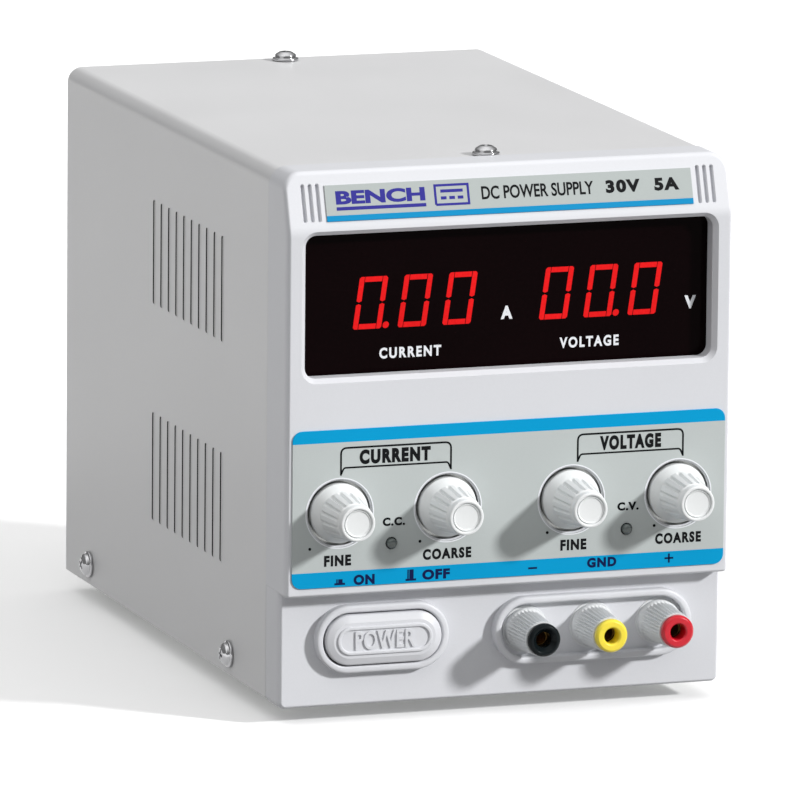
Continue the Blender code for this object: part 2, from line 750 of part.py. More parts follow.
def add_electronics():
    """The main board with its capacitor and rectifier, and the heatsink with the pass transistor."""
    board_z = 12.0
    low = (-62.0, 110.0, board_z)
    add_part("main_board", block(low, (62.0, 165.0, board_z + 1.6)), LOOKS["board"])
    top = board_z + 1.6 + CLEAR
    can = turned([(0, 0), (14.5, 0), (15.0, 0.8), (15.0, 41.0), (14.0, 42.0), (0, 42.0)], 20)
    add_part("filter_capacitor", moved(can, turn=90, axis="X"), LOOKS["black"], (-40.0, 136.0, top))
    add_part("bridge_rectifier", block((-16.0, 120.0, top), (-10.0, 148.0, top + 25.0)), LOOKS["black"])
    comb = [(14.0, top), (18.0, top)]
    pitch = 10.0
    for i in range(9):
        z = top + 2.0 + i * pitch
        comb += [(18.0, z), (58.0, z), (58.0, z + 2.4), (18.0, z + 2.4)]
    comb += [(18.0, top + 90.0), (14.0, top + 90.0)]
    add_part("heatsink", prism(comb, 118.0, 162.0), LOOKS["aluminium"])
    side = 14.0 - CLEAR
    add_part("power_transistor", block((side - 5.0, 132.0, 62.0), (side, 148.0, 83.0)), LOOKS["black"])


add_chassis()
add_cover()
add_feet()
add_cover_screws()
add_bezel()
add_front_frame()
add_overlay()
add_name_strip()
add_display()
add_controls()
add_leds()
add_power_button()
add_posts()
add_fan()
add_inlet()
add_selector()
add_transformer()
add_electronics()
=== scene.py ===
"""The looks of the bench power supply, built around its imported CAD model.

Shapes are made in millimetres in the case's frame: X to the right seen from the front, Y from the cover's
front edge to the back, Z up from the cover's lower edge. finish_piece() puts them in the row's frame, in
metres.
"""

import json
import math

import bmesh
import bpy
from mathutils import Matrix, Vector


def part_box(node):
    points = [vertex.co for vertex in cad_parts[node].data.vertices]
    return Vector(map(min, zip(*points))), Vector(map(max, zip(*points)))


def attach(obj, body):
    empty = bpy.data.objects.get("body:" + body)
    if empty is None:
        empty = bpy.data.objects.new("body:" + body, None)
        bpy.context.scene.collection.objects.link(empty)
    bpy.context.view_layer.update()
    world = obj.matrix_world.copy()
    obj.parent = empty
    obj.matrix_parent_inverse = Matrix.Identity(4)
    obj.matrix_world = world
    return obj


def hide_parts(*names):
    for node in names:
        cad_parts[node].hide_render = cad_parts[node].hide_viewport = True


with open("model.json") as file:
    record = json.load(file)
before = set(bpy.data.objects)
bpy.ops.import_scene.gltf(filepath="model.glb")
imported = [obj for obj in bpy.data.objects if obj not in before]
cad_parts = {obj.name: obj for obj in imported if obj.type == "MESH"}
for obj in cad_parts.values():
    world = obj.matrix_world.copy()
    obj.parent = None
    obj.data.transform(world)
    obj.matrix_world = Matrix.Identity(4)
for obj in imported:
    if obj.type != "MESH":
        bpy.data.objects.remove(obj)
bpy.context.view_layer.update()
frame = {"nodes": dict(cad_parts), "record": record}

MM = 0.001
ORIGIN = Vector((0.0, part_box("top_cover")[0].y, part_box("top_cover")[0].z))


def case_box(node):
    """A CAD node's lowest and highest corners in the case's frame, in millimetres."""
    return [(corner - ORIGIN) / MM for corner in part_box(node)]


def case_centre(node):
    low, high = case_box(node)
    return (low + high) / 2


# Driving dimensions that the boxes don't give, in millimetres.
SHEET = 1.2
SLOT_ROWS = ((32.0, 64.5), (97.2, 128.4))
SLOT_COUNT = 10
FIRST_SLOT_Y = 42.0
SLOT_PITCH = 7.15
SLOT_HALF = 0.85
LOUVRE_HALF = 0.35
LOUVRE_RISE = 0.22
FAN_HOLE_INSET = 4.0
FACE_Y = case_box("front_bezel")[0].y
BEZEL_BACK_Y = case_box("front_bezel")[1].y
LOWER_FACE_Y = FACE_Y + 6.0
STEP_Z = 32.5
LOWER_HALF = 67.7
UPPER_RADII = (1.2, 1.2, 5.5, 5.5)
CROWN_DEPTH = 2.6  # the rounding of the bezel's front edge, from front to back
CROWN_WIDTH = 1.1  # the same rounding, seen from the front
BROW_Z = 139.0
BROW_TOP_Y = -12.5
BROW_BEND = 1.5  # half the height that the bend takes up
WALL = 2.7
SIDE_WALL = 2.4
DISPLAY_HALF = 62.9
DISPLAY_LOW = 95.5
DISPLAY_HIGH = 138.6
DISPLAY_MIDDLE = (DISPLAY_HIGH + DISPLAY_LOW) / 2
DISPLAY_HALF_Z = (DISPLAY_HIGH - DISPLAY_LOW) / 2
RIM_HALF_Z = 10.0
RIM_HOLE_HALF_Z = 7.8
RIM_HEIGHT = 3.0
RIM_FACE_Y = LOWER_FACE_Y - RIM_HEIGHT
HOLE_DEPTH = 8.0
KNOB_HOLE_R = 9.55
OVERLAY_HOLE_R = 10.0
LAMP_HOLE_R = 1.8
BLUE_LOW_TOP = 40.0
BLUE_HIGH_BOTTOM = 77.7
STRIP_HALF_Z = 5.25
STRIP_FRONT = -0.35
STRIP_LINE = 1.65
PRINT = 0.03  # how far printing stands proud
LEAST_RADIUS = 0.001  # keeps the points of a ring on the axis apart
BOLD = 0.054  # how far a bold letter's outline is pushed out, as a share of its size
SHARP = 35.0  # faces that meet at more than this many degrees show an edge
KNOBS = ("current_fine", "current_coarse", "voltage_fine", "voltage_coarse")
LAMPS = ("cc_led", "cv_led")
POSTS = ("negative", "ground", "positive")


# Materials.


def srgb(red, green, blue):
    """Linear colour from 8-bit display values."""
    return tuple(
        v / 255 / 12.92 if v / 255 <= 0.04045 else ((v / 255 + 0.055) / 1.055) ** 2.4
        for v in (red, green, blue)
    )


def add_node(tree, kind, inputs=(), **settings):
    made = tree.nodes.new(kind)
    for key, value in settings.items():
        setattr(made, key, value)
    for key, value in dict(inputs).items():
        if isinstance(value, bpy.types.NodeSocket):
            tree.links.new(value, made.inputs[key])
        else:
            made.inputs[key].default_value = value
    return made


def make_finish(
    name, colour, roughness, metallic=0.0, mottle=0.04, grain=900.0, bump=0.05, stretch=None, **sockets
):
    """A surface whose colour and gloss drift slowly and whose grain shows as bump.

    colour is in 8-bit display values. stretch scales the grain's coordinates along X, Y and Z, which draws
    it out into brushed lines. sockets holds inputs of the shader that are the same all over.
    """
    material = bpy.data.materials.new(name)
    material.use_nodes = True
    tree = material.node_tree
    shader = tree.nodes["Principled BSDF"]
    place = add_node(tree, "ShaderNodeTexCoord").outputs["Object"]
    grain_place = place
    if stretch:
        mapping = add_node(tree, "ShaderNodeMapping", {"Vector": place, "Scale": stretch})
        grain_place = mapping.outputs["Vector"]
    drift = add_node(tree, "ShaderNodeTexNoise", {"Vector": place, "Scale": 28.0, "Detail": 3.0})
    fine = add_node(tree, "ShaderNodeTexNoise", {"Vector": grain_place, "Scale": grain, "Detail": 2.0})
    both = {0: drift.outputs["Fac"], 1: fine.outputs["Fac"]}
    blend = add_node(tree, "ShaderNodeMath", both, operation="ADD").outputs[0]
    middle_part = {"Value": blend, "From Min": 0.6, "From Max": 1.4}
    share = add_node(tree, "ShaderNodeMapRange", middle_part).outputs[0]
    colour = srgb(*colour)
    mix = add_node(tree, "ShaderNodeMix", {"Factor": share}, data_type="RGBA")
    mix.inputs["A"].default_value = (*(c * (1 - mottle) for c in colour), 1.0)
    mix.inputs["B"].default_value = (*(min(1.0, c * (1 + mottle)) for c in colour), 1.0)
    tree.links.new(mix.outputs["Result"], shader.inputs["Base Color"])
    around = {"Value": share, "To Min": roughness * 0.9, "To Max": min(1.0, roughness * 1.1)}
    gloss = add_node(tree, "ShaderNodeMapRange", around)
    tree.links.new(gloss.outputs[0], shader.inputs["Roughness"])
    height = {"Height": fine.outputs["Fac"], "Strength": bump, "Distance": 0.0002}
    relief = add_node(tree, "ShaderNodeBump", height)
    tree.links.new(relief.outputs["Normal"], shader.inputs["Normal"])
    shader.inputs["Metallic"].default_value = metallic
    for key, value in sockets.items():
        shader.inputs[key.replace("_", " ")].default_value = value
    return material


def make_glow(name, colour, strength):
    """A lit segment whose light is mottled like the diffuser over its lamps."""
    material = make_finish(name, colour, 0.5, mottle=0.16, grain=1500.0)
    tree = material.node_tree
    shader = tree.nodes["Principled BSDF"]
    tree.links.new(tree.nodes["Mix"].outputs["Result"], shader.inputs["Emission Color"])
    tree.links.remove(shader.inputs["Base Color"].links[0])
    shader.inputs["Base Color"].default_value = (0.02, 0.0, 0.0, 1.0)
    shader.inputs["Emission Strength"].default_value = strength
    shader.inputs["Specular IOR Level"].default_value = 0.0
    return material


DULL = {"Specular_IOR_Level": 0.1}
FILM = {"grain": 2200.0, "bump": 0.03, "mottle": 0.02}
GLOSSY = {"grain": 1200.0, "bump": 0.02}
FINISH = {
    "case": make_finish("grey_powder_coat", (212, 212, 213), 0.36, grain=1400.0, bump=0.06, mottle=0.02),
    "bezel": make_finish("offwhite_moulding", (211, 212, 216), 0.42, grain=1800.0, mottle=0.015),
    "zinc": make_finish("zinc_plate", (196, 198, 196), 0.38, 1.0, grain=500.0, bump=0.06, mottle=0.1),
    "chrome": make_finish("bright_nickel", (196, 196, 198), 0.14, 1.0, grain=300.0, bump=0.01),
    "overlay": make_finish("film_grey", (181, 187, 186), 0.5, **FILM),
    "blue": make_finish("film_blue", (0, 152, 204), 0.5, **FILM, **DULL),
    # The strip's films are darker copies of the overlay's: painted shade that tones down the light falling on
    # the leaning brow.
    "strip": make_finish("brow_film_grey_painted_shade", (164, 171, 169), 0.5, **FILM),
    "strip_blue": make_finish("brow_film_blue_painted_shade", (0, 136, 188), 0.5, **FILM, **DULL),
    "window": make_finish(
        "dark_red_acrylic", (11, 3, 4), 0.15, bump=0.0, mottle=0.3, Specular_IOR_Level=0.02
    ),
    "ink": make_finish("black_ink", (10, 12, 14), 0.6, mottle=0.1, **DULL),
    "navy": make_finish("navy_ink", (8, 22, 70), 0.6, mottle=0.1, **DULL),
    # White ink for the window's lettering. The rings round the knob holes use it as a painted highlight.
    "white_ink": make_finish("white_ink", (226, 228, 232), 0.6, mottle=0.02),
    "symbol": make_finish("purple_ink", (52, 50, 140), 0.6, mottle=0.08, **DULL),
    "black": make_finish("black_moulding", (26, 30, 32), 0.45, grain=1500.0, bump=0.08, mottle=0.15),
    "gloss_black": make_finish("gloss_black_moulding", (14, 20, 22), 0.25, bump=0.02, mottle=0.15, **DULL),
    "rubber": make_finish("foot_rubber", (34, 34, 34), 0.85, grain=1200.0, bump=0.2, mottle=0.2),
    "knob": make_finish("white_knob", (228, 230, 230), 0.36, grain=1500.0, bump=0.03, mottle=0.012),
    "cap": make_finish("light_grey_cap", (220, 222, 223), 0.4, grain=1500.0, bump=0.04, mottle=0.02),
    "red": make_finish("red_moulding", (200, 8, 34), 0.3, mottle=0.06, **GLOSSY),
    "yellow": make_finish("yellow_moulding", (240, 218, 62), 0.3, mottle=0.04, **GLOSSY),
    "board": make_finish("green_mask", (24, 92, 48), 0.4, grain=1500.0, bump=0.1, mottle=0.2),
    "aluminium": make_finish("drawn_aluminium", (200, 200, 203), 0.35, 1.0, bump=0.1, stretch=(1, 0.05, 1)),
    "iron": make_finish("laminations", (70, 70, 74), 0.5, 0.6, bump=0.3, stretch=(0.1, 3, 0.1)),
    "copper": make_finish("enamelled_copper", (168, 96, 48), 0.35, 0.8, bump=0.4, stretch=(0.1, 0.1, 3)),
    # Brass hue, darkened well below brass's own brightness: painted shade for the dark insides of the post
    # sockets.
    "brass": make_finish("turned_brass_painted_shade", (112, 86, 44), 0.25, 1.0, grain=700.0, bump=0.04, mottle=0.08),
    "led": make_finish("unlit_lens", (92, 100, 98), 0.15, grain=600.0, bump=0.01, mottle=0.35),
    "glow": make_glow("lit_segment", (240, 34, 36), 0.95),
    # Near-black colour for the walls of the cover's slots: painted shade, so that the slots read as dark
    # lines.
    "painted_slot_shade": make_finish("painted_shade_in_slots", (44, 44, 46), 0.6, bump=0.1, mottle=0.1),
    "floor": make_finish(
        "pale_floor",
        (246, 246, 246),
        0.9,
        grain=60.0,
        bump=0.0,
        mottle=0.004,
        Emission_Color=(1.0, 1.0, 1.0, 1.0),
        Emission_Strength=0.16,
        **DULL,
    ),
}


# Outlines: closed lists of (x, z) points, counter-clockwise.


def round_rect(half_x, half_z, radii, centre=(0.0, 0.0), steps=8):
    """A rectangle with round corners. radii is one number, or four from the low left corner round."""
    if isinstance(radii, (int, float)):
        radii = (radii,) * 4
    points = []
    for number, radius in enumerate(radii):
        side_x = -1 if number in (0, 3) else 1
        side_z = -1 if number in (0, 1) else 1
        middle = (centre[0] + side_x * (half_x - radius), centre[1] + side_z * (half_z - radius))
        for i in range(steps + 1):
            angle = math.pi + (number + i / steps) * math.pi / 2
            points.append((middle[0] + radius * math.cos(angle), middle[1] + radius * math.sin(angle)))
    return points


def grown(half_x, half_z, radius, centre=(0.0, 0.0), steps=8):
    """The same rounded rectangle as a function of how far it is grown on every side."""
    return lambda grow: round_rect(half_x + grow, half_z + grow, max(radius + grow, 0.01), centre, steps)


def stadium(half_x, half_z, centre, steps=14):
    """The same, with ends that are half circles."""
    return grown(half_x, half_z, half_z, centre, steps)


def flat(point):
    return (point.x, point.z)


def filleted(corners, steps=4, closed=False):
    """A path through corners given as (a, b, radius), with each corner rounded."""
    points = []
    count = len(corners)
    for i, (a, b, radius) in enumerate(corners):
        here = Vector((a, b))
        if radius == 0 or (not closed and i in (0, count - 1)):
            points.append((a, b))
            continue
        before = Vector(corners[i - 1][:2]) - here
        after = Vector(corners[(i + 1) % count][:2]) - here
        half = before.angle(after) / 2
        reach = min(radius / math.tan(half), 0.49 * before.length, 0.49 * after.length)
        start = here + before.normalized() * reach
        end = here + after.normalized() * reach
        for k in range(steps + 1):
            t = k / steps
            point = start * (1 - t) ** 2 + here * 2 * t * (1 - t) + end * t * t
            points.append((point.x, point.y))
    return points


# Closed meshes, in millimetres.


def loft(rings, closed=False):
    """Skins rings of points, and caps the two ends unless the rings close on themselves."""
    bm = bmesh.new()
    rows = [[bm.verts.new(point) for point in ring] for ring in rings]
    pairs = list(zip(rows, rows[1:]))
    if closed:
        pairs.append((rows[-1], rows[0]))
    else:
        bm.faces.new(rows[0])
        bm.faces.new(rows[-1])
    for first, second in pairs:
        for i in range(len(first)):
            j = (i + 1) % len(first)
            bm.faces.new((first[i], first[j], second[j], second[i]))
    bmesh.ops.recalc_face_normals(bm, faces=bm.faces)
    return bm


def prism(outline, low, high, axis="Y"):
    """An outline drawn out between two places along Y, or along X."""
    if axis == "X":
        return loft([[(t, a, b) for a, b in outline] for t in (low, high)])
    return loft([[(a, t, b) for a, b in outline] for t in (low, high)])


def block(low, high):
    corners = [(low[0], low[2]), (high[0], low[2]), (high[0], high[2]), (low[0], high[2])]
    return prism(corners, low[1], high[1])


def swept(outline, profile, closed=False):
    """An outline function skinned along a profile of (grow, y)."""
    return loft([[(x, y, z) for x, z in outline(grow)] for grow, y in profile], closed)


def turned(profile, steps=48, centre=(0.0, 0.0), wave=None, closed=False):
    """A profile of (radius, y) turned about a line along Y. wave(radius, y, angle) adds to the radius."""
    rings = []
    for radius, y in profile:
        ring = []
        for i in range(steps):
            angle = 2 * math.pi * i / steps
            reach = max(radius, LEAST_RADIUS) + (wave(radius, y, angle) if wave else 0.0)
            ring.append((centre[0] + reach * math.cos(angle), y, centre[1] + reach * math.sin(angle)))
        rings.append(ring)
    return loft(rings, closed)


def moved(bm, offset=(0.0, 0.0, 0.0), turn=0.0, axis="Y", scale=None):
    """The mesh scaled, turned by an angle in degrees about an axis, then moved."""
    matrix = Matrix.Translation(offset) @ Matrix.Rotation(math.radians(turn), 4, axis)
    if scale:
        matrix = matrix @ Matrix.Diagonal((*scale, 1.0))
    bmesh.ops.transform(bm, matrix=matrix, verts=bm.verts)
    return bm


def joined(parts):
    whole = bmesh.new()
    for part in parts:
        mesh = bpy.data.meshes.new("part")
        part.to_mesh(mesh)
        part.free()
        whole.from_mesh(mesh)
        bpy.data.meshes.remove(mesh)
    return whole


# Objects.


def link_mesh(name, bm):
    mesh = bpy.data.meshes.new(name)
    bm.to_mesh(mesh)
    bm.free()
    obj = bpy.data.objects.new(name, mesh)
    bpy.context.scene.collection.objects.link(obj)
    return obj


def apply_modifiers(obj):
    graph = bpy.context.evaluated_depsgraph_get()
    mesh = bpy.data.meshes.new_from_object(obj.evaluated_get(graph))
    obj.modifiers.clear()
    old = obj.data
    obj.data = mesh
    bpy.data.meshes.remove(old)


def combine(obj, bm, operation):
    helper = link_mesh("helper", bm)
    boolean = obj.modifiers.new("boolean", "BOOLEAN")
    boolean.operation = operation
    boolean.object = helper
    apply_modifiers(obj)
    bpy.data.objects.remove(helper)


def round_edges(obj, width, segments=3, angle=30.0):
    bevel = obj.modifiers.new("round_edges", "BEVEL")
    bevel.width = width
    bevel.segments = segments
    bevel.limit_method = "ANGLE"
    bevel.angle_limit = math.radians(angle)
    apply_modifiers(obj)


def finish_piece(obj, finishes, body="case", replaces=(), slot=None, smooth=SHARP):
    """Puts a shape made in the case's frame into the row's frame, and gives it its finish and its body."""
    obj.data.transform(Matrix.Translation(ORIGIN) @ Matrix.Scale(MM, 4))
    if isinstance(finishes, str):
        finishes = [finishes]
    for finish in finishes:
        obj.data.materials.append(FINISH[finish])
    obj.data.shade_smooth()
    obj.data.set_sharp_from_angle(angle=math.radians(smooth))
    weighted = obj.modifiers.new("flat_faces_first", "WEIGHTED_NORMAL")
    weighted.keep_sharp = True
    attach(obj, body)
    if replaces:
        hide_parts(*replaces)


def add_piece(name, bm, finishes, body="case", replaces=(), slot=None, smooth=SHARP):
    finish_piece(link_mesh(name, bm), finishes, body, replaces, slot, smooth)


# Lettering.


def text_mesh(text, width, height, weight=0.0, spacing=1.0):
    """Built-in lettering scaled to a width and a height, lying in the XZ plane about its middle."""
    curve = bpy.data.curves.new("text", "FONT")
    curve.body = text
    curve.extrude = 0.5
    curve.offset = weight
    curve.space_character = spacing
    curve.resolution_u = 5
    obj = bpy.data.objects.new("text", curve)
    bpy.context.scene.collection.objects.link(obj)
    graph = bpy.context.evaluated_depsgraph_get()
    mesh = bpy.data.meshes.new_from_object(obj.evaluated_get(graph))
    bpy.data.objects.remove(obj)
    bm = bmesh.new()
    bm.from_mesh(mesh)
    bpy.data.meshes.remove(mesh)
    low = Vector(min(v.co[i] for v in bm.verts) for i in range(3))
    high = Vector(max(v.co[i] for v in bm.verts) for i in range(3))
    middle = (low + high) / 2
    for vertex in bm.verts:
        flat = vertex.co - middle
        x = flat.x * width / (high.x - low.x)
        z = flat.y * height / (high.y - low.y)
        vertex.co = (x, -flat.z, z)
    return bm


def printed(text, x, y, z, width, height, weight=0.0, depth=PRINT, spacing=1.0):
    """Lettering that stands out of the plane at y towards the front by depth."""
    bm = text_mesh(text, width, height, weight, spacing)
    return moved(bm, (x, y - depth / 2, z), scale=(1.0, depth, 1.0))


def crossings(path):
    """Each point of a path, with the direction across the path there and across one of its stretches."""
    for i, point in enumerate(path):
        here = Vector(point)
        before = (here - Vector(path[i - 1])).normalized() if i else None
        after = (Vector(path[i + 1]) - here).normalized() if i < len(path) - 1 else None
        along = ((before or after) + (after or before)).normalized()
        stretch = after or before
        yield here, Vector((-along.y, along.x)), Vector((-stretch.y, stretch.x))


def printed_line(points, line, y):
    """A printed line of one width through points of (x, z)."""
    left = []
    right = []
    for here, across, stretch_across in crossings(points):
        widen = line / 2 / max(0.3, across.dot(stretch_across))
        left.append(tuple(here + across * widen))
        right.append(tuple(here - across * widen))
    return prism(left + right[::-1], y - PRINT, y)


# The case.


def make_cover():
    """Painted sheet bent over the top, with louvred slots pressed in both sides."""
    low, high = case_box("top_cover")
    half = high.x
    outline = sheet_line(half, high.z, 4.5) + sheet_line(half - SHEET, high.z - SHEET, 3.2)[::-1]
    cover = link_mesh("cover_shell", prism(outline, low.y, high.y))
    round_edges(cover, 0.25, 2, 60.0)
    slots = []
    louvres = []
    for side in (-1, 1):
        near, far = sorted((side * (half - SHEET - 1), side * (half + 1)))
        for slot_low, slot_high in SLOT_ROWS:
            for i in range(SLOT_COUNT):
                y = FIRST_SLOT_Y + SLOT_PITCH * i
                slots.append(prism(slot_outline(y, slot_low, slot_high, SLOT_HALF), near, far, "X"))
                louvres.append(louvre(side, half, y - 1.1, slot_low - 0.4, slot_high + 0.4))
    combine(cover, joined(louvres), "UNION")
    combine(cover, joined(slots), "DIFFERENCE")
    finish_piece(cover, ["case", "painted_slot_shade"], replaces=["top_cover"], slot="case")
    # The faces inside the sheet's thickness, the slot walls, take the near-black finish: painted shade.
    for face in cover.data.polygons:
        centre = (face.center - ORIGIN) / MM
        in_sheet = abs(face.normal.x) < 0.3 and half - SHEET < abs(centre.x) < half
        off_ends = low.y + 1.0 < centre.y < high.y - 1.0
        if in_sheet and off_ends and SLOT_ROWS[0][0] - 1.0 < centre.z < SLOT_ROWS[1][1] + 1.6:
            face.material_index = 1


def sheet_line(half, top, radius):
    """One face of the bent sheet, from its lower left edge over the top to its lower right edge."""
    corners = arc_corner(-half, top, radius, 180) + arc_corner(half, top, radius, 90)
    return [(-half, 0.0), *corners, (half, 0.0)]


def louvre(side, wall, y, low, high):
    """The pressed-out edge beside a slot: a low half-round ridge that fades at both ends."""
    fade = ((0.0, 0.05), (0.5, 0.75), (1.2, 1.0))
    rows = [(low + reach, share) for reach, share in fade]
    rows += [(high - reach, share) for reach, share in reversed(fade)]
    root = wall - 0.3
    rings = []
    for z, share in rows:
        half = LOUVRE_HALF * share
        angles = [math.pi * k / 6 for k in range(7)]
        points = [(wall + LOUVRE_RISE * share * math.sin(a), y + half * math.cos(a)) for a in angles]
        points += [(root, y - half), (root, y + half)]
        rings.append([(side * x, across, z) for x, across in points])
    return loft(rings)


def arc_corner(corner_x, corner_z, radius, start):
    """Points clockwise round an upper corner of the cover, from an angle in degrees."""
    middle_x = corner_x + radius if corner_x < 0 else corner_x - radius
    middle_z = corner_z - radius
    angles = [math.radians(start - i * 9) for i in range(11)]
    return [(middle_x + radius * math.cos(a), middle_z + radius * math.sin(a)) for a in angles]


def slot_outline(y, low, high, half):
    """A slot with round ends, as (y, z) points."""
    points = []
    for middle, start in ((low + half, math.pi), (high - half, 0.0)):
        for i in range(7):
            angle = start + math.pi * i / 6
            points.append((y + half * math.cos(angle), middle + half * math.sin(angle)))
    return points


def screw_mesh():
    """A pan head with a washer face and a cross recess.

    Its underside is at y = 0 and its head points to -Y.
    """
    corners = [(0, 0, 0), (4.0, 0, 0), (4.0, -0.55, 0.3), (3.35, -0.75, 0.1), (3.2, -1.6, 0.9)]
    corners += [(1.8, -2.5, 1.2), (0, -2.6, 0)]
    screw = link_mesh("screw", turned(filleted(corners, 5), 48))
    for turn in (0, 90):
        recess = [
            [(-half, y, -thick), (half, y, -thick), (half, y, thick), (-half, y, thick)]
            for half, y, thick in ((1.9, -3.0, 0.45), (0.6, -0.7, 0.22))
        ]
        combine(screw, moved(loft(recess), turn=turn), "DIFFERENCE")
    mesh = screw.data.copy()
    bpy.data.objects.remove(screw)
    return mesh


def add_screw(name, mesh, seat, axis, turn, replaces=(), scale=1.0):
    """A screw with its washer face at seat, its head towards axis and its cross turned."""
    obj = bpy.data.objects.new(name, mesh.copy())
    bpy.context.scene.collection.objects.link(obj)
    aim = Vector((0, -1, 0)).rotation_difference(Vector(axis)).to_matrix().to_4x4()
    spin = Matrix.Rotation(math.radians(turn), 4, "Y")
    obj.data.transform(Matrix.Translation(seat) @ aim @ spin @ Matrix.Scale(scale, 4))
    finish_piece(obj, "chrome", replaces=replaces, slot="chrome")


def make_screws():
    mesh = screw_mesh()
    for number, place in enumerate(("front", "rear")):
        name = f"top_screw_{place}"
        middle = case_centre(name)
        seat = (middle.x, middle.y, case_box(name)[0].z)
        add_screw(f"{name}_head", mesh, seat, (0, 0, 1), 20 + 35 * number, [name])
    for number, place in enumerate(("left_front", "left_rear", "right_front", "right_rear")):
        name = f"side_screw_{place}"
        low, high = case_box(name)
        middle = (low + high) / 2
        side = -1 if middle.x < 0 else 1
        seat = (high.x if side < 0 else low.x, middle.y, middle.z)
        add_screw(f"{name}_head", mesh, seat, (side, 0, 0), 15 + 25 * number, [name])
    fan_low, fan_high = case_box("fan_frame")
    back = case_box("chassis")[1].y
    for x in (fan_low.x + FAN_HOLE_INSET, fan_high.x - FAN_HOLE_INSET):
        for z in (fan_low.z + FAN_HOLE_INSET, fan_high.z - FAN_HOLE_INSET):
            add_screw(f"fan_screw_{int(x)}_{int(z)}", mesh, (x, back, z), (0, 1, 0), x, scale=0.72)


def make_feet():
    for place in ("front_left", "front_right", "rear_left", "rear_right"):
        name = f"foot_{place}"
        low, high = case_box(name)
        middle = (low + high) / 2
        height = high.z - low.z
        corners = [(0, 0.0, 0), (2.0, 0.0, 0.2), (2.0, 2.2, 0.2), (3.4, 2.2, 0.2), (3.4, 0.0, 0.2)]
        corners += [(7.0, 0.0, 0.6), (8.0, 1.4, 0.8), (8.0, height, 0.5), (0, height, 0)]
        upright = moved(turned(filleted(corners, 3), 40), turn=90, axis="X")
        pad = moved(upright, (middle.x, middle.y, low.z))
        add_piece(f"{name}_pad", pad, "rubber", replaces=[name], slot="rubber")


# The bezel.


def make_bezel():
    """Moulded shell: an upper block with a leaning brow, a lower block set back, rims and openings."""
    low, high = case_box("front_bezel")
    half = high.x
    upper_middle = (high.z + STEP_Z) / 2
    half_z = high.z - upper_middle

    def upper(grow):
        radii = [max(radius + grow, 0.05) for radius in UPPER_RADII]
        return round_rect(half + grow, half_z + grow, radii, (0.0, upper_middle))

    bezel = link_mesh("bezel_shell", swept(upper, crown(FACE_Y)))
    split_at(bezel, *(BROW_Z + (i - 3) * BROW_BEND / 3 for i in range(7)))
    for vertex in bezel.data.vertices:
        share = min(1.0, max(0.0, vertex.co.y / FACE_Y))
        vertex.co.y += brow_set_back(vertex.co.z) * share
    lower_middle = (low.z + STEP_Z + 3.0) / 2
    lower = grown(LOWER_HALF, lower_middle - low.z, 2.2, (0.0, lower_middle))
    combine(bezel, swept(lower, crown(LOWER_FACE_Y)), "UNION")
    room = [
        (5.0, low.z + WALL),
        (LOWER_FACE_Y + WALL, low.z + WALL),
        (LOWER_FACE_Y + WALL, STEP_Z + WALL),
        (FACE_Y + WALL, STEP_Z + WALL),
        (FACE_Y + WALL, BROW_Z - 1),
        (BROW_TOP_Y + WALL, high.z - WALL),
        (5.0, high.z - WALL),
    ]
    combine(bezel, prism(room, -half + SIDE_WALL, half - SIDE_WALL, "X"), "DIFFERENCE")
    past = half + 5
    combine(bezel, block((-past, BEZEL_BACK_Y, low.z - 5), (past, 8.0, high.z + 5)), "DIFFERENCE")
    tube = grown(DISPLAY_HALF + 1.5, DISPLAY_HALF_Z + 1.5, 4.0, (0.0, DISPLAY_MIDDLE))
    tube_end = case_box("display_window")[0].y - 0.3
    combine(bezel, swept(tube, [(0, FACE_Y + 1.3), (0, tube_end)]), "UNION")
    for half_x, middle in ((20.3, button_middle()), (30.5, posts_middle())):
        rim = stadium(half_x, RIM_HALF_Z, middle)
        corners = [(0.0, LOWER_FACE_Y + 1.0, 0), (0.0, RIM_FACE_Y, 1.1), (-9.0, RIM_FACE_Y, 0)]
        outer = filleted(corners, 6)
        combine(bezel, swept(rim, outer[:-1] + [(-1.2, RIM_FACE_Y)]), "UNION")
    for cutter in bezel_cutters():
        combine(bezel, cutter, "DIFFERENCE")
    finish_piece(bezel, "bezel", replaces=["front_bezel"], slot="bezel")


def crown(face, rows=7):
    """A profile from behind the face to it, which rounds the edge with a quarter ellipse."""
    profile = [(0.0, 4.0)]
    for i in range(rows + 1):
        angle = i / rows * math.pi / 2
        profile.append((-CROWN_WIDTH * (1 - math.cos(angle)), face + CROWN_DEPTH * (1 - math.sin(angle))))
    return profile


def brow_set_back(z):
    """How far the brow lies behind the face at a height, with a soft bend where it starts."""
    slope = math.tan(math.radians(brow_lean()))
    above = z - BROW_Z
    if above <= -BROW_BEND:
        return 0.0
    if above >= BROW_BEND:
        return slope * above
    return slope * (above + BROW_BEND) ** 2 / (4 * BROW_BEND)


def button_middle():
    return flat(case_centre("power_button"))


def posts_middle():
    left = case_centre("negative_post_stud")
    right = case_centre("positive_post_stud")
    return ((left.x + right.x) / 2 - 0.3, left.z)


def lipped(outline, face, depth, radius):
    """A cutter that is flared at the face by a rounded lip of this radius."""
    profile = [(radius + 0.5, face - 1.0), (radius + 0.5, face - 0.001)]
    for i in range(7):
        angle = i / 6 * math.pi / 2
        profile.append((radius * (1 - math.sin(angle)), face + radius * (1 - math.cos(angle))))
    profile.append((0.0, face + depth))
    return swept(outline, profile)


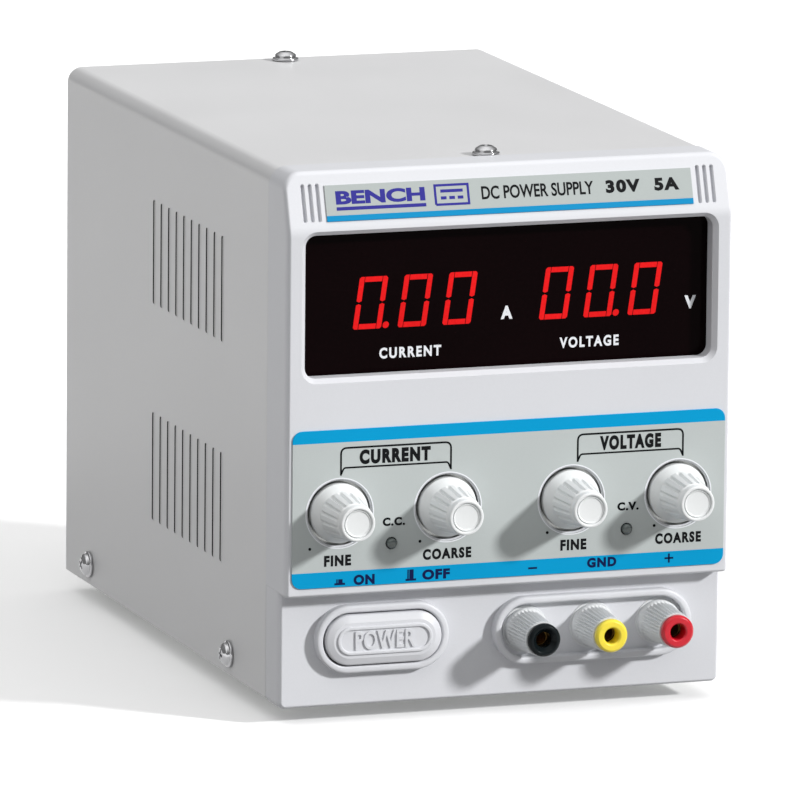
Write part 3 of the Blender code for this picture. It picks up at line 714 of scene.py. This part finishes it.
def bezel_cutters():
    """Every opening and groove, each with its own lip."""
    display = grown(DISPLAY_HALF - 0.8, DISPLAY_HALF_Z - 0.8, 3.2, (0.0, DISPLAY_MIDDLE))
    yield swept(display, [(1.4, FACE_Y - 1.0), (1.4, FACE_Y), (0.0, FACE_Y + 1.4), (0.0, FACE_Y + 12.0)])
    yield lipped(stadium(18.1, RIM_HOLE_HALF_Z, button_middle()), RIM_FACE_Y, 12.0, 0.7)
    yield lipped(stadium(28.3, RIM_HOLE_HALF_Z, posts_middle()), RIM_FACE_Y, RIM_HEIGHT, 0.8)
    for name in KNOBS:
        hole = circle(KNOB_HOLE_R, case_centre(f"{name}_knob"))
        yield lipped(hole, FACE_Y, HOLE_DEPTH, 0.25)
        yield swept(hole, [(0.02, FACE_Y + 0.45), (2.0, FACE_Y + 1.7), (2.0, FACE_Y + HOLE_DEPTH)])
    for name in LAMPS:
        yield lipped(circle(LAMP_HOLE_R, case_centre(name)), FACE_Y, HOLE_DEPTH, 0.2)
    for name in POSTS:
        yield lipped(circle(3.4, case_centre(f"{name}_post_stud")), LOWER_FACE_Y, HOLE_DEPTH, 0.3)
    yield from brow_grooves()


def circle(radius, middle):
    return stadium(radius, radius, flat(middle), 12)


def brow_lean():
    """The brow's lean from upright, in degrees."""
    top = case_box("front_bezel")[1].z
    return math.degrees(math.atan2(BROW_TOP_Y - FACE_Y, top - BROW_Z))


def on_brow(z):
    """Where the brow's surface is at a height."""
    return FACE_Y + (z - BROW_Z) * math.tan(math.radians(brow_lean()))


def brow_grooves():
    middle_z = 147.0
    profile = [(0.25, -1.0), (0.25, -0.05), (0.0, 0.2), (-0.05, 1.2)]
    for side in (-1, 1):
        for x in (57.9, 60.1, 62.3):
            groove = swept(grown(0.45, 5.5, 0.45, steps=6), profile)
            yield moved(groove, (side * x, on_brow(middle_z), middle_z), turn=-brow_lean(), axis="X")


def make_name_strip():
    """The printed strip on the brow: grey film, a blue line, lettering and a generic mark. Its films are
    darker than the overlay's, as painted shade.
    """
    low, high = case_box("name_strip")
    half = high.x
    middle_z = (low.z + high.z) / 2
    film = link_mesh(
        "name_strip_film", block((-half, STRIP_FRONT, -STRIP_HALF_Z), (half, -0.05, STRIP_HALF_Z))
    )
    line_top = STRIP_LINE - STRIP_HALF_Z
    split_at(film, line_top)
    for face in film.data.polygons:
        face.material_index = 1 if face.center.z < line_top else 0
    place_on_brow(film, middle_z)
    finish_piece(film, ["strip", "strip_blue"], replaces=["name_strip"], slot="overlay")
    words = [
        printed("DC POWER SUPPLY", 8.5, STRIP_FRONT, 0.9, 34.2, 3.9, 0.022),
        printed("30V  5A", 40.6, STRIP_FRONT, 0.9, 22.5, 3.8, BOLD, spacing=1.2),
    ]
    for name, parts, finish in (("lettering", words, "ink"), ("mark", mark_parts(), "symbol")):
        ink = link_mesh(f"name_strip_{name}", joined(parts))
        place_on_brow(ink, middle_z)
        finish_piece(ink, finish, slot="overlay")


def mark_parts():
    """A plain word underlined, and the direct-current sign in a frame."""
    border = [(-22.6, -1.9), (-22.6, 3.7), (-12.6, 3.7), (-12.6, -1.9), (-22.6, -1.9)]
    lines = [([(-52.7, -1.7), (-25.6, -1.7)], 1.0), (border, 0.7), ([(-21.0, 2.0), (-14.2, 2.0)], 0.9)]
    lines += [([(x, 0.0), (x + 1.7, 0.0)], 0.9) for x in (-21.0, -18.45, -15.9)]
    word = printed("BENCH", -39.2, STRIP_FRONT, 1.5, 27.0, 4.0, 0.045)
    return [word] + [printed_line(points, width, STRIP_FRONT) for points, width in lines]


def place_on_brow(obj, middle_z):
    lean = Matrix.Rotation(math.radians(-brow_lean()), 4, "X")
    obj.data.transform(Matrix.Translation((0.0, on_brow(middle_z), middle_z)) @ lean)


def split_at(obj, *heights):
    """Cuts the mesh's faces along level planes, so that bands can take their own finish."""
    bm = bmesh.new()
    bm.from_mesh(obj.data)
    for height in heights:
        geometry = bm.verts[:] + bm.edges[:] + bm.faces[:]
        bmesh.ops.bisect_plane(bm, geom=geometry, plane_co=(0, 0, height), plane_no=(0, 0, 1))
    bm.to_mesh(obj.data)
    bm.free()


# The display.


DIGIT_HEIGHT = 15.2
DIGIT_WIDTH = 8.6
DIGIT_PITCH = 13.6
STROKE = 1.5
SEGMENT_GAP = 0.2
POINT_HALF = 0.95
SLANT = math.tan(math.radians(8.0))


def zero_outlines():
    """The six lit segments of a nought about its middle, as lists of (x, z). The sides run full height."""
    half_x = DIGIT_WIDTH / 2
    half_z = DIGIT_HEIGHT / 2
    inner = half_x - STROKE
    end = inner - SEGMENT_GAP
    top = [(-end, half_z), (-end, half_z - STROKE), (end, half_z - STROKE), (end, half_z)]
    side = [
        (half_x - 0.5, half_z),
        (half_x, half_z - 0.5),
        (half_x, STROKE * 0.4),
        (half_x - STROKE / 2, SEGMENT_GAP * 1.2),
        (inner, STROKE * 0.4),
        (inner, half_z),
    ]
    low_side = [(x, -z) for x, z in side]
    bottom = [(x, -z) for x, z in top]
    return [top, side, low_side, bottom, [(-x, z) for x, z in low_side], [(-x, z) for x, z in side]]


def make_readout(name, text, x, z, y):
    """Lit noughts of a three-digit display. A point in the text follows its digit."""
    point_middle = (DIGIT_WIDTH / 2 + 1.3, POINT_HALF - DIGIT_HEIGHT / 2)
    parts = []
    place = -2
    for character in text:
        if character == ".":
            outlines = [round_rect(POINT_HALF, POINT_HALF, 0.9, point_middle, 5)]
        else:
            place += 1
            outlines = zero_outlines()
        for outline in outlines:
            shape = [(x + place * DIGIT_PITCH + a + b * SLANT, z + b) for a, b in outline]
            parts.append(prism(shape, y - 0.05, y))
    add_piece(name, joined(parts), "glow", slot="window")


def make_display():
    low, high = case_box("display_window")
    face = low.y
    pane = grown((high.x - low.x) / 2, (high.z - low.z) / 2, 1.0, (0.0, (high.z + low.z) / 2), 3)
    profile = filleted([(-2.0, face, 0), (0.0, face, 0.2), (0.0, high.y, 0.2), (-2.0, high.y, 0)], 2)
    add_piece("window_pane", swept(pane, profile), "window", replaces=["display_window"], slot="window")
    middle_z = case_centre("current_display").z
    make_readout("current_digits", "0.00", -27.2, middle_z, face - 0.02)
    make_readout("voltage_digits", "00.0", 29.5, middle_z, face - 0.02)
    words = [
        printed("CURRENT", -28.6, face, 101.8, 18.8, 3.2, 0.04, spacing=1.3),
        printed("VOLTAGE", 26.1, face, 102.0, 18.2, 3.2, 0.04, spacing=1.3),
        printed("A", 0.7, face, 111.8, 3.6, 3.9, BOLD),
        printed("V", 57.1, face, 112.0, 3.6, 3.9, BOLD),
    ]
    add_piece("window_lettering", joined(words), "white_ink", slot="window")


# The control panel.


def make_overlay():
    low, high = case_box("control_overlay")
    face = low.y
    sheet = grown(high.x, (high.z - low.z) / 2, 2.9, (0.0, ((low + high) / 2).z), 6)
    profile = filleted([(-2.0, face, 0), (0.0, face, 0.1), (0.0, high.y, 0.0), (-2.0, high.y, 0)], 2)
    film = link_mesh("overlay_film", swept(sheet, profile))
    holes = [(OVERLAY_HOLE_R, 72, f"{name}_knob") for name in KNOBS]
    holes += [(LAMP_HOLE_R, 36, name) for name in LAMPS]
    for radius, steps, node in holes:
        hole = turned([(radius, face - 1), (radius, high.y + 1)], steps, flat(case_centre(node)))
        combine(film, hole, "DIFFERENCE")
    split_at(film, BLUE_LOW_TOP, BLUE_HIGH_BOTTOM)
    for polygon in film.data.polygons:
        polygon.material_index = 0 if BLUE_LOW_TOP < polygon.center.z < BLUE_HIGH_BOTTOM else 1
    finish_piece(film, ["overlay", "blue"], replaces=["control_overlay"], slot="overlay")
    add_piece("overlay_lettering", joined(overlay_print(face)), "ink", slot="overlay")
    # A white ring round each knob hole: a painted highlight standing for the lit edge of the hole.
    line = [(10.05, face - PRINT), (10.4, face - PRINT), (10.4, face), (10.05, face)]
    rings = [turned(line, 72, flat(case_centre(f"{name}_knob")), closed=True) for name in KNOBS]
    add_piece("painted_highlight_rings", joined(rings), "white_ink", slot="overlay")
    add_piece("band_lettering", joined(band_print(face)), "navy", slot="overlay")


INDEX_DOTS = {
    "current_fine": (-9.0, -10.0),
    "current_coarse": (-8.4, -9.6),
    "voltage_fine": (-7.3, -9.3),
    "voltage_coarse": (-7.2, -9.1),
}


def overlay_print(y):
    """Knob names, lamp names, index dots and the two brackets."""
    parts = [
        printed("CURRENT", -35.1, y, 73.1, 21.6, 4.3, 0.065, spacing=1.25),
        printed("VOLTAGE", 36.9, y, 73.1, 18.9, 4.3, 0.065, spacing=1.25),
        printed("C.C.", -35.3, y, 53.7, 6.8, 2.5, 0.055, spacing=1.15),
        printed("C.V.", 36.4, y, 54.1, 6.6, 2.5, 0.055, spacing=1.15),
        printed("FINE", -52.3, y, 43.2, 8.2, 3.2, BOLD, spacing=1.2),
        printed("COARSE", -19.0, y, 43.4, 14.8, 3.2, BOLD, spacing=1.25),
        printed("FINE", 19.7, y, 43.7, 8.0, 3.2, BOLD, spacing=1.2),
        printed("COARSE", 52.0, y, 43.9, 14.2, 3.2, BOLD, spacing=1.25),
    ]
    for name, (x, z) in INDEX_DOTS.items():
        middle = case_centre(f"{name}_knob")
        parts.append(prism(round_rect(0.45, 0.45, 0.45, (middle.x + x, middle.z + z), 5), y - PRINT, y))
    for start, end in ((-51.5, -18.1), (20.7, 53.1)):
        outer = [(start, 68.0, 0), (start, 76.0, 1.8), (end, 76.0, 1.8), (end, 68.0, 0)]
        inner = [(start + 0.1, 68.4, 0), (start + 0.9, 70.2, 1.0)]
        inner += [(end - 0.9, 70.2, 1.0), (end - 0.1, 68.4, 0)]
        parts.append(printed_line(filleted(outer, 6), 0.55, y))
        parts.append(printed_line(filleted(inner, 5), 0.5, y))
    return parts


def band_print(y):
    """The lower band: the button's two symbols and the names of the posts."""
    z = 37.5
    parts = [
        printed("ON", -44.2, y, z - 0.3, 6.4, 3.0, BOLD, spacing=1.15),
        printed("OFF", -22.3, y, z, 8.4, 3.0, BOLD, spacing=1.15),
        printed("GND", 28.5, y, z + 0.5, 9.0, 2.9, BOLD, spacing=1.2),
        printed_line([(5.9, z), (8.6, z)], 0.55, y),
        printed_line([(47.9, z + 0.5), (50.6, z + 0.5)], 0.55, y),
        printed_line([(49.25, z - 0.85), (49.25, z + 1.85)], 0.55, y),
    ]
    base = z - 1.2
    for x, rise in ((-51.6, 1.1), (-30.0, 2.7)):
        parts.append(printed_line([(x - 1.6, base), (x + 1.6, base)], 0.6, y))
        for offset, width in ((-0.85, 0.4), (0.2, 1.3)):
            upright = [(x + offset, base + 0.31), (x + offset, base + 0.3 + rise)]
            parts.append(printed_line(upright, width, y))
    return parts


FLUTES = 16
GRIP_R = 5.65
SKIRT_R = 7.0


def make_knobs():
    for name in KNOBS:
        low, high = case_box(f"{name}_knob")
        end = low.y
        base = high.y
        corners = [
            (0.0, end + 0.55, 0),
            (3.55, end + 0.55, 0.5),
            (3.85, end + 0.15, 0.2),
            (3.95, end + 0.75, 0.1),
            (4.2, end + 0.75, 0.1),
            (4.3, end, 0.3),
            (5.15, end, 0.55),
            (5.25, end + 2.3, 0.2),
            (GRIP_R, end + 2.8, 0.3),
        ]
        start = end + 2.7
        stop = base - 5.0
        rows = 24
        profile = filleted(corners, 4)[:-1]
        for i in range(rows + 1):
            t = i / rows
            profile.append((GRIP_R + (SKIRT_R - GRIP_R) * t, start + 0.1 + (stop - start - 0.1) * t))
        skirt = [(SKIRT_R, stop + 0.05, 0), (7.2, stop + 0.3, 0.2), (8.7, base - 1.9, 0.5), (8.7, base, 0.1)]
        profile += filleted(skirt + [(3.3, base, 0)], 4)
        profile += [(3.3, end + 5.0), (0.0, end + 5.0)]
        shape = turned(profile, 192, flat(case_centre(f"{name}_knob")), flutes(start, stop))
        add_piece(f"{name}_knob_cap", shape, "knob", f"{name}_control", [f"{name}_knob"], "knob", smooth=50.0)


def flutes(start, stop):
    """A wave for turned(): narrow flutes between two places along the knob's axis, on its outer rows."""

    def wave(radius, y, angle):
        if radius <= 5.5 or not start < y < stop:
            return 0.0
        off_middle = abs((angle * FLUTES / (2 * math.pi)) % 1.0 - 0.5) * 2
        depth = max(0.0, 1 - (off_middle / 0.42) ** 2)
        return -0.75 * depth * min(1.0, (y - start) / 0.5, (stop + 0.04 - y) / 0.7)

    return wave


def make_lamps():
    for name in LAMPS:
        low, high = case_box(name)
        corners = [(0, low.y + 0.5, 0), (0.9, low.y + 0.55, 0.6), (1.48, low.y + 1.2, 0.6)]
        corners += [(1.48, high.y - 2.0, 0), (2.15, high.y - 2.0, 0.1), (2.15, high.y, 0.1), (0, high.y, 0)]
        lamp = turned(filleted(corners, 4), 36, flat((low + high) / 2))
        add_piece(f"{name}_lens", lamp, "led", replaces=[name], slot="led")


def make_button():
    """The button's cap with its raised ridge and lettering."""
    low, high = case_box("power_button")
    middle = flat((low + high) / 2)
    face = low.y + 1.0
    shape = stadium((high.x - low.x) / 2, (high.z - low.z) / 2, middle, 16)
    corners = [(-6.0, face, 0), (-2.2, face, 0.6), (0.0, face + 0.9, 0.9), (0.0, high.y, 0.2)]
    cap = link_mesh("button_cap", swept(shape, filleted(corners + [(-6.0, high.y, 0)], 5)))
    top = face - 0.55
    ridge = [(0.0, face + 0.6, 0), (0.0, top, 0.4), (-1.1, top, 0.4), (-1.1, face + 0.6, 0)]
    combine(cap, swept(stadium(14.5, 4.2, middle), filleted(ridge, 4), closed=True), "UNION")
    finish_piece(cap, "bezel", "power_button", ["power_button"], "bezel")
    word = printed("POWER", middle[0], face + 0.1, middle[1], 18.2, 5.4, 0.014, depth=0.6)
    add_piece("button_lettering", word, "bezel", "power_button", slot="bezel")


RING_FINISHES = {"negative": "gloss_black", "ground": "yellow", "positive": "red"}
RING_SLOTS = {"negative": "black", "ground": "yellow", "positive": "red"}
SOCKET_R = 2.3
CAP_RIBS = 33


def make_posts():
    for name in POSTS:
        low, high = case_box(f"{name}_post_ring")
        middle = flat(case_centre(f"{name}_post_ring"))
        end = low.y
        mouth = 1.3 if name == "negative" else 0.45
        corners = [(SOCKET_R, end + mouth * 1.1, 0.4), (SOCKET_R + mouth, end, 0.3), (4.2, end, 0.4)]
        corners += [(4.85, end + 0.6, 0.4), (4.85, end + 1.9, 0.2), (3.9, end + 2.2, 0.1)]
        corners += [(3.9, high.y, 0.1), (SOCKET_R, high.y, 0.1)]
        ring = turned(filleted(corners, 4, closed=True), 56, middle, closed=True)
        slider = f"{name}_post_slider"
        add_piece(f"{name}_ring", ring, RING_FINISHES[name], slider, [f"{name}_post_ring"], RING_SLOTS[name])
        make_cap(name, middle, end)
        make_stud(name, middle, end)


def make_cap(name, middle, end):
    """The grip of a post: a cone ribbed all round, with a flange at its base."""
    base = case_box(f"{name}_post_cap")[1].y
    cone_start = (5.2, end + 3.2)
    corners = [(4.25, end + 2.5), (5.0, end + 2.5), cone_start, (5.95, base - 2.3), (6.35, base - 1.9)]
    corners += [(6.35, base), (3.4, base), (3.4, end + 6.0), (4.25, end + 5.4)]
    profile = []
    for first, second in zip(corners, corners[1:] + corners[:1]):
        steps = 14 if first == cone_start else 1
        for i in range(steps):
            profile.append(tuple(a + (b - a) * (i / steps) for a, b in zip(first, second)))

    def ribs(radius, y, angle):
        if radius <= 5.1:
            return 0.0
        ease = max(0.0, min(1.0, (y - end - 3.1) / 0.4, (base - 2.25 - y) / 0.4))
        return -0.7 * ease * (0.5 - 0.5 * math.cos(angle * CAP_RIBS)) ** 1.2

    grip = turned(profile, 8 * CAP_RIBS, middle, ribs, closed=True)
    add_piece(f"{name}_grip", grip, "cap", f"{name}_post_grip", [f"{name}_post_cap"], "cap", 50.0)


def make_stud(name, middle, end):
    low, high = case_box(f"{name}_post_stud")
    corners = [(0, end + 12.0, 0), (1.98, end + 12.0, 0.2), (1.98, low.y, 0.1), (2.5, low.y, 0.15)]
    corners += [(2.55, high.y - 12.2, 0), (2.95, high.y - 12.2, 0.1), (2.95, high.y, 0.4), (0, high.y, 0)]
    stud = turned(filleted(corners, 3), 40, middle)
    # The socket's darkened brass is painted shade inside the post's mouth.
    add_piece(f"{name}_socket", stud, "brass", replaces=[f"{name}_post_stud"], slot="brass")
    front = LOWER_FACE_Y - 0.32
    back = LOWER_FACE_Y + 0.02
    washer = [(3.0, front, 0), (6.9, front, 0.1), (6.9, back, 0), (3.0, back, 0)]
    seat = turned(filleted(washer, 2, closed=True), 48, middle, closed=True)
    add_piece(f"{name}_seat", seat, "cap", slot="cap")


# The rear.


def wire_ring(radius, y, wire, middle):
    angles = [2 * math.pi * i / 8 for i in range(8)]
    profile = [(radius + wire * math.cos(a), y + wire * math.sin(a)) for a in angles]
    return turned(profile, 64, middle, closed=True)


def make_guard():
    """Wire rings welded to four legs, each leg bending in towards the panel at its outer end."""
    low, high = case_box("fan_guard")
    middle = case_centre("fan_frame")
    wire = 0.8
    y = high.y - wire
    parts = [wire_ring(radius, y, wire, flat(middle)) for radius in (9.0, 18.0, 27.0)]
    for angle in (45, 135, 225, 315):
        leg = [(9.0, y - 1.6), (29.0, y - 1.6), (32.0, low.y + 0.5), (34.5, low.y + 0.5)]
        parts.append(moved(bent_wire(leg, wire * 0.9), (middle.x, 0.0, middle.z), turn=angle))
    add_piece("fan_guard_wires", joined(parts), "chrome", replaces=["fan_guard"], slot="chrome")


def bent_wire(path, radius, steps=8):
    """A round wire through (x, y) points in the plane Z = 0."""
    rings = []
    for here, across, _ in crossings(path):
        ring = []
        for k in range(steps):
            angle = 2 * math.pi * k / steps
            side = across * math.cos(angle) * radius
            ring.append((here.x + side.x, here.y + side.y, math.sin(angle) * radius))
        rings.append(ring)
    return loft(rings)


HUB_R = 11.0
BLADES = 7
BLADE_TIP_R = 26.6


def make_rotor():
    """A hub with curved blades."""
    low, high = case_box("fan_rotor")
    middle = case_centre("fan_frame")
    corners = [(0, low.y, 0), (11.5, low.y, 0.3), (11.5, high.y, 1.2), (0, high.y, 0)]
    parts = [turned(filleted(corners, 4), 48)]
    shares = (0.0, 0.25, 0.5, 0.75, 1.0)
    section = [(0.45, share) for share in shares] + [(-0.45, share) for share in reversed(shares)]
    for number in range(BLADES):
        rings = []
        for i in range(9):
            reach = HUB_R + (BLADE_TIP_R - HUB_R) * i / 8
            swing = math.radians(number * 360 / BLADES + 14 * (i / 8) ** 1.5)
            ring = []
            for side, share in section:
                y = low.y + 1.8 + (high.y - low.y - 3.6) * share
                pitch = math.radians(34 * (share - 0.5) * HUB_R / reach * 1.4)
                angle = swing + pitch - 0.10 * math.sin(share * math.pi) + side / reach
                ring.append((reach * math.cos(angle), y, reach * math.sin(angle)))
            rings.append(ring)
        parts.append(loft(rings))
    rotor = moved(joined(parts), (middle.x, 0.0, middle.z))
    add_piece("rotor_blades", rotor, "black", "fan_rotor", ["fan_rotor"], "black")


def make_inlet():
    """Black inlet body with plated pins, its fuse drawer above."""
    low, high = case_box("mains_inlet")
    flange_y = high.y - 2.2
    middle = (low + high) / 2
    flange = filleted([(-6, flange_y, 0), (0, flange_y, 0.1), (0, high.y, 0.7), (-6, high.y, 0)], 4)
    shell = link_mesh("inlet_shell", swept(grown(16.0, 19.5, 1.6, flat(middle)), flange))
    body_low = (middle.x - 13.6, low.y, middle.z - 16.6)
    body_high = (middle.x + 13.6, flange_y + 1, middle.z + 16.6)
    combine(shell, block(body_low, body_high), "UNION")
    corners = [(-12.2, -13.5, 1.5), (12.2, -13.5, 1.5), (12.2, -3.0, 0.8)]
    corners += [(8.2, 1.5, 0.8), (-8.2, 1.5, 0.8), (-12.2, -3.0, 0.8)]
    socket = [(middle.x + a, middle.z + b) for a, b in filleted(corners, 4, closed=True)]
    combine(shell, prism(socket, flange_y - 16.0, high.y + 2), "DIFFERENCE")
    drawer_low, drawer_high = case_box("fuse_drawer")
    slot_low = (middle.x - 11.8, drawer_low.y - 1.0, drawer_low.z - 0.3)
    slot_high = (middle.x + 11.8, high.y + 2, drawer_high.z + 0.3)
    combine(shell, block(slot_low, slot_high), "DIFFERENCE")
    finish_piece(shell, "black", replaces=["mains_inlet"], slot="black")
    pins = []
    for x, z in ((-7.0, -8.2), (7.0, -8.2), (0.0, -4.2)):
        pin = grown(0.95, 1.95, 0.4, (middle.x + x, middle.z + z), 4)
        corners = [(0.0, flange_y - 15.5, 0), (0.0, flange_y + 0.4, 0.5), (-0.9, flange_y + 0.4, 0)]
        pins.append(swept(pin, filleted(corners, 3)))
    add_piece("inlet_pins", joined(pins), "chrome", replaces=["mains_inlet"], slot="chrome")
    drawer = link_mesh("drawer_body", block(drawer_low, (drawer_high.x, drawer_high.y - 0.05, drawer_high.z)))
    notch_low = (middle.x - 4.0, drawer_high.y - 1.4, drawer_high.z - 2.7)
    notch_high = (middle.x + 4.0, drawer_high.y + 2, drawer_high.z + 2)
    combine(drawer, block(notch_low, notch_high), "DIFFERENCE")
    round_edges(drawer, 0.35, 3, 40.0)
    finish_piece(drawer, "black", "fuse_drawer", ["fuse_drawer"], "black")


def make_selector():
    low, high = case_box("selector_slider")
    slider = link_mesh("slider_cap", block(low, high))
    round_edges(slider, 0.4, 3, 40.0)
    notch = prism(round_rect(0.4, 3.5, 0.2, flat((low + high) / 2)), high.y - 0.6, high.y + 1)
    combine(slider, notch, "DIFFERENCE")
    finish_piece(slider, "red", "selector_slider", ["selector_slider"], "red")


def make_rear_lettering():
    """Plain words beside the rear fittings, printed on the panel's outer face."""
    back = case_box("chassis")[1].y
    inlet_low, inlet_high = case_box("mains_inlet")
    selector = case_centre("voltage_selector")
    inlet_x = (inlet_low.x + inlet_high.x) / 2
    words = [
        ("AC INPUT", inlet_x, inlet_low.z - 4.0, 17.0, 2.8),
        ("FUSE", inlet_x, inlet_high.z + 4.0, 8.5, 2.8),
        ("115V", selector.x + 15.0, selector.z, 7.6, 2.6),
        ("230V", selector.x - 15.0, selector.z, 7.6, 2.6),
    ]
    parts = []
    for text, x, z, width, height in words:
        word = moved(text_mesh(text, width, height, 0.012), turn=180, axis="Z")
        parts.append(moved(word, (x, back + PRINT / 2, z), scale=(1.0, PRINT, 1.0)))
    add_piece("rear_lettering", joined(parts), "ink", slot="case")


def finish_cad_nodes():
    """Gives every CAD node the finish of its slot. Those that no piece replaces stay in view."""
    for entry in frame["record"]["subparts"]:
        mesh = frame["nodes"][entry["node"]].data
        mesh.materials.clear()
        mesh.materials.append(FINISH[entry["material_slot"]])
        mesh.set_sharp_from_angle(angle=math.radians(SHARP))


# The studio.


SKY_LOW = 0.2
SKY_HIGH = 1.5
BOUNCE = 0.3  # the light from below that stands for the floor's own, which no diffuse ray sees
FLOOR_HALF = 20000.0
SUN_DISTANCE = 3.0
CAMERA_YAW = 19.27
CAMERA_PITCH = 10.75
CAMERA_ROLL = 0.53
CAMERA_DISTANCE = 3180.2
CAMERA_TARGET = Vector((-9.82, 50.0, 75.32))
CAMERA_LENS = 487.7


def make_camera():
    yaw, pitch, roll = map(math.radians, (CAMERA_YAW, CAMERA_PITCH, CAMERA_ROLL))
    forward = Vector((math.sin(yaw) * math.cos(pitch), math.cos(yaw) * math.cos(pitch), -math.sin(pitch)))
    level = Vector((math.cos(yaw), -math.sin(yaw), 0.0))
    upright = level.cross(forward)
    right = level * math.cos(roll) + upright * math.sin(roll)
    up = upright * math.cos(roll) - level * math.sin(roll)
    camera = bpy.data.objects.new("camera", bpy.data.cameras.new("camera"))
    bpy.context.scene.collection.objects.link(camera)
    camera.data.lens = CAMERA_LENS
    camera.data.clip_start = 0.1
    camera.data.clip_end = 100.0
    turn = Matrix((right, up, -forward)).transposed().to_4x4()
    place = ORIGIN + (CAMERA_TARGET - forward * CAMERA_DISTANCE) * MM
    camera.matrix_world = Matrix.Translation(place) @ turn
    bpy.context.scene.camera = camera


def add_sun(name, energy, direction, spread):
    """A sun that shines along a direction, as wide as spread in degrees. The camera doesn't see it."""
    light = bpy.data.lights.new(name, "SUN")
    light.energy = energy
    light.angle = math.radians(spread)
    obj = bpy.data.objects.new(name, light)
    bpy.context.scene.collection.objects.link(obj)
    aim = Vector(direction).normalized()
    obj.rotation_mode = "QUATERNION"
    obj.rotation_quaternion = aim.to_track_quat("-Z", "Y")
    obj.location = -aim * SUN_DISTANCE
    obj.visible_camera = False


def make_studio():
    floor_low = (-FLOOR_HALF, -FLOOR_HALF, -50.0)
    floor = link_mesh("floor", block(floor_low, (FLOOR_HALF, FLOOR_HALF, 0.0)))
    floor.data.transform(Matrix.Scale(MM, 4))
    floor.data.materials.append(FINISH["floor"])
    floor.visible_diffuse = False
    add_sun("key", 3.3, (-1.1, 1.0, -0.72), 6)
    add_sun("fill", 0.4, (1.0, 0.5, -0.9), 60)
    world = bpy.data.worlds.new("studio")
    bpy.context.scene.world = world
    world.use_nodes = True
    tree = world.node_tree
    direction = add_node(tree, "ShaderNodeTexCoord").outputs["Generated"]
    height = add_node(tree, "ShaderNodeSeparateXYZ", {0: direction}).outputs["Z"]
    above = add_node(tree, "ShaderNodeMath", {0: height, 1: 0.0}, operation="MAXIMUM").outputs[0]
    bent = add_node(tree, "ShaderNodeMath", {0: above, 1: 3.0}, operation="POWER").outputs[0]
    sky = add_node(tree, "ShaderNodeMapRange", {"Value": bent, "To Min": SKY_LOW, "To Max": SKY_HIGH})
    below = add_node(tree, "ShaderNodeMath", {0: height, 1: 0.0}, operation="LESS_THAN").outputs[0]
    lift = {0: below, 1: BOUNCE - SKY_LOW, 2: sky.outputs[0]}
    sky = add_node(tree, "ShaderNodeMath", lift, operation="MULTIPLY_ADD")
    backdrop = tree.nodes["Background"]
    backdrop.inputs["Color"].default_value = (1.0, 1.0, 1.0, 1.0)
    tree.links.new(sky.outputs[0], backdrop.inputs["Strength"])
    bpy.context.scene.view_settings.view_transform = "Standard"


finish_cad_nodes()
make_cover()
make_screws()
make_feet()
make_bezel()
make_name_strip()
make_display()
make_overlay()
make_knobs()
make_lamps()
make_button()
make_posts()
make_guard()
make_rotor()
make_inlet()
make_selector()
make_rear_lettering()
make_studio()
make_camera()
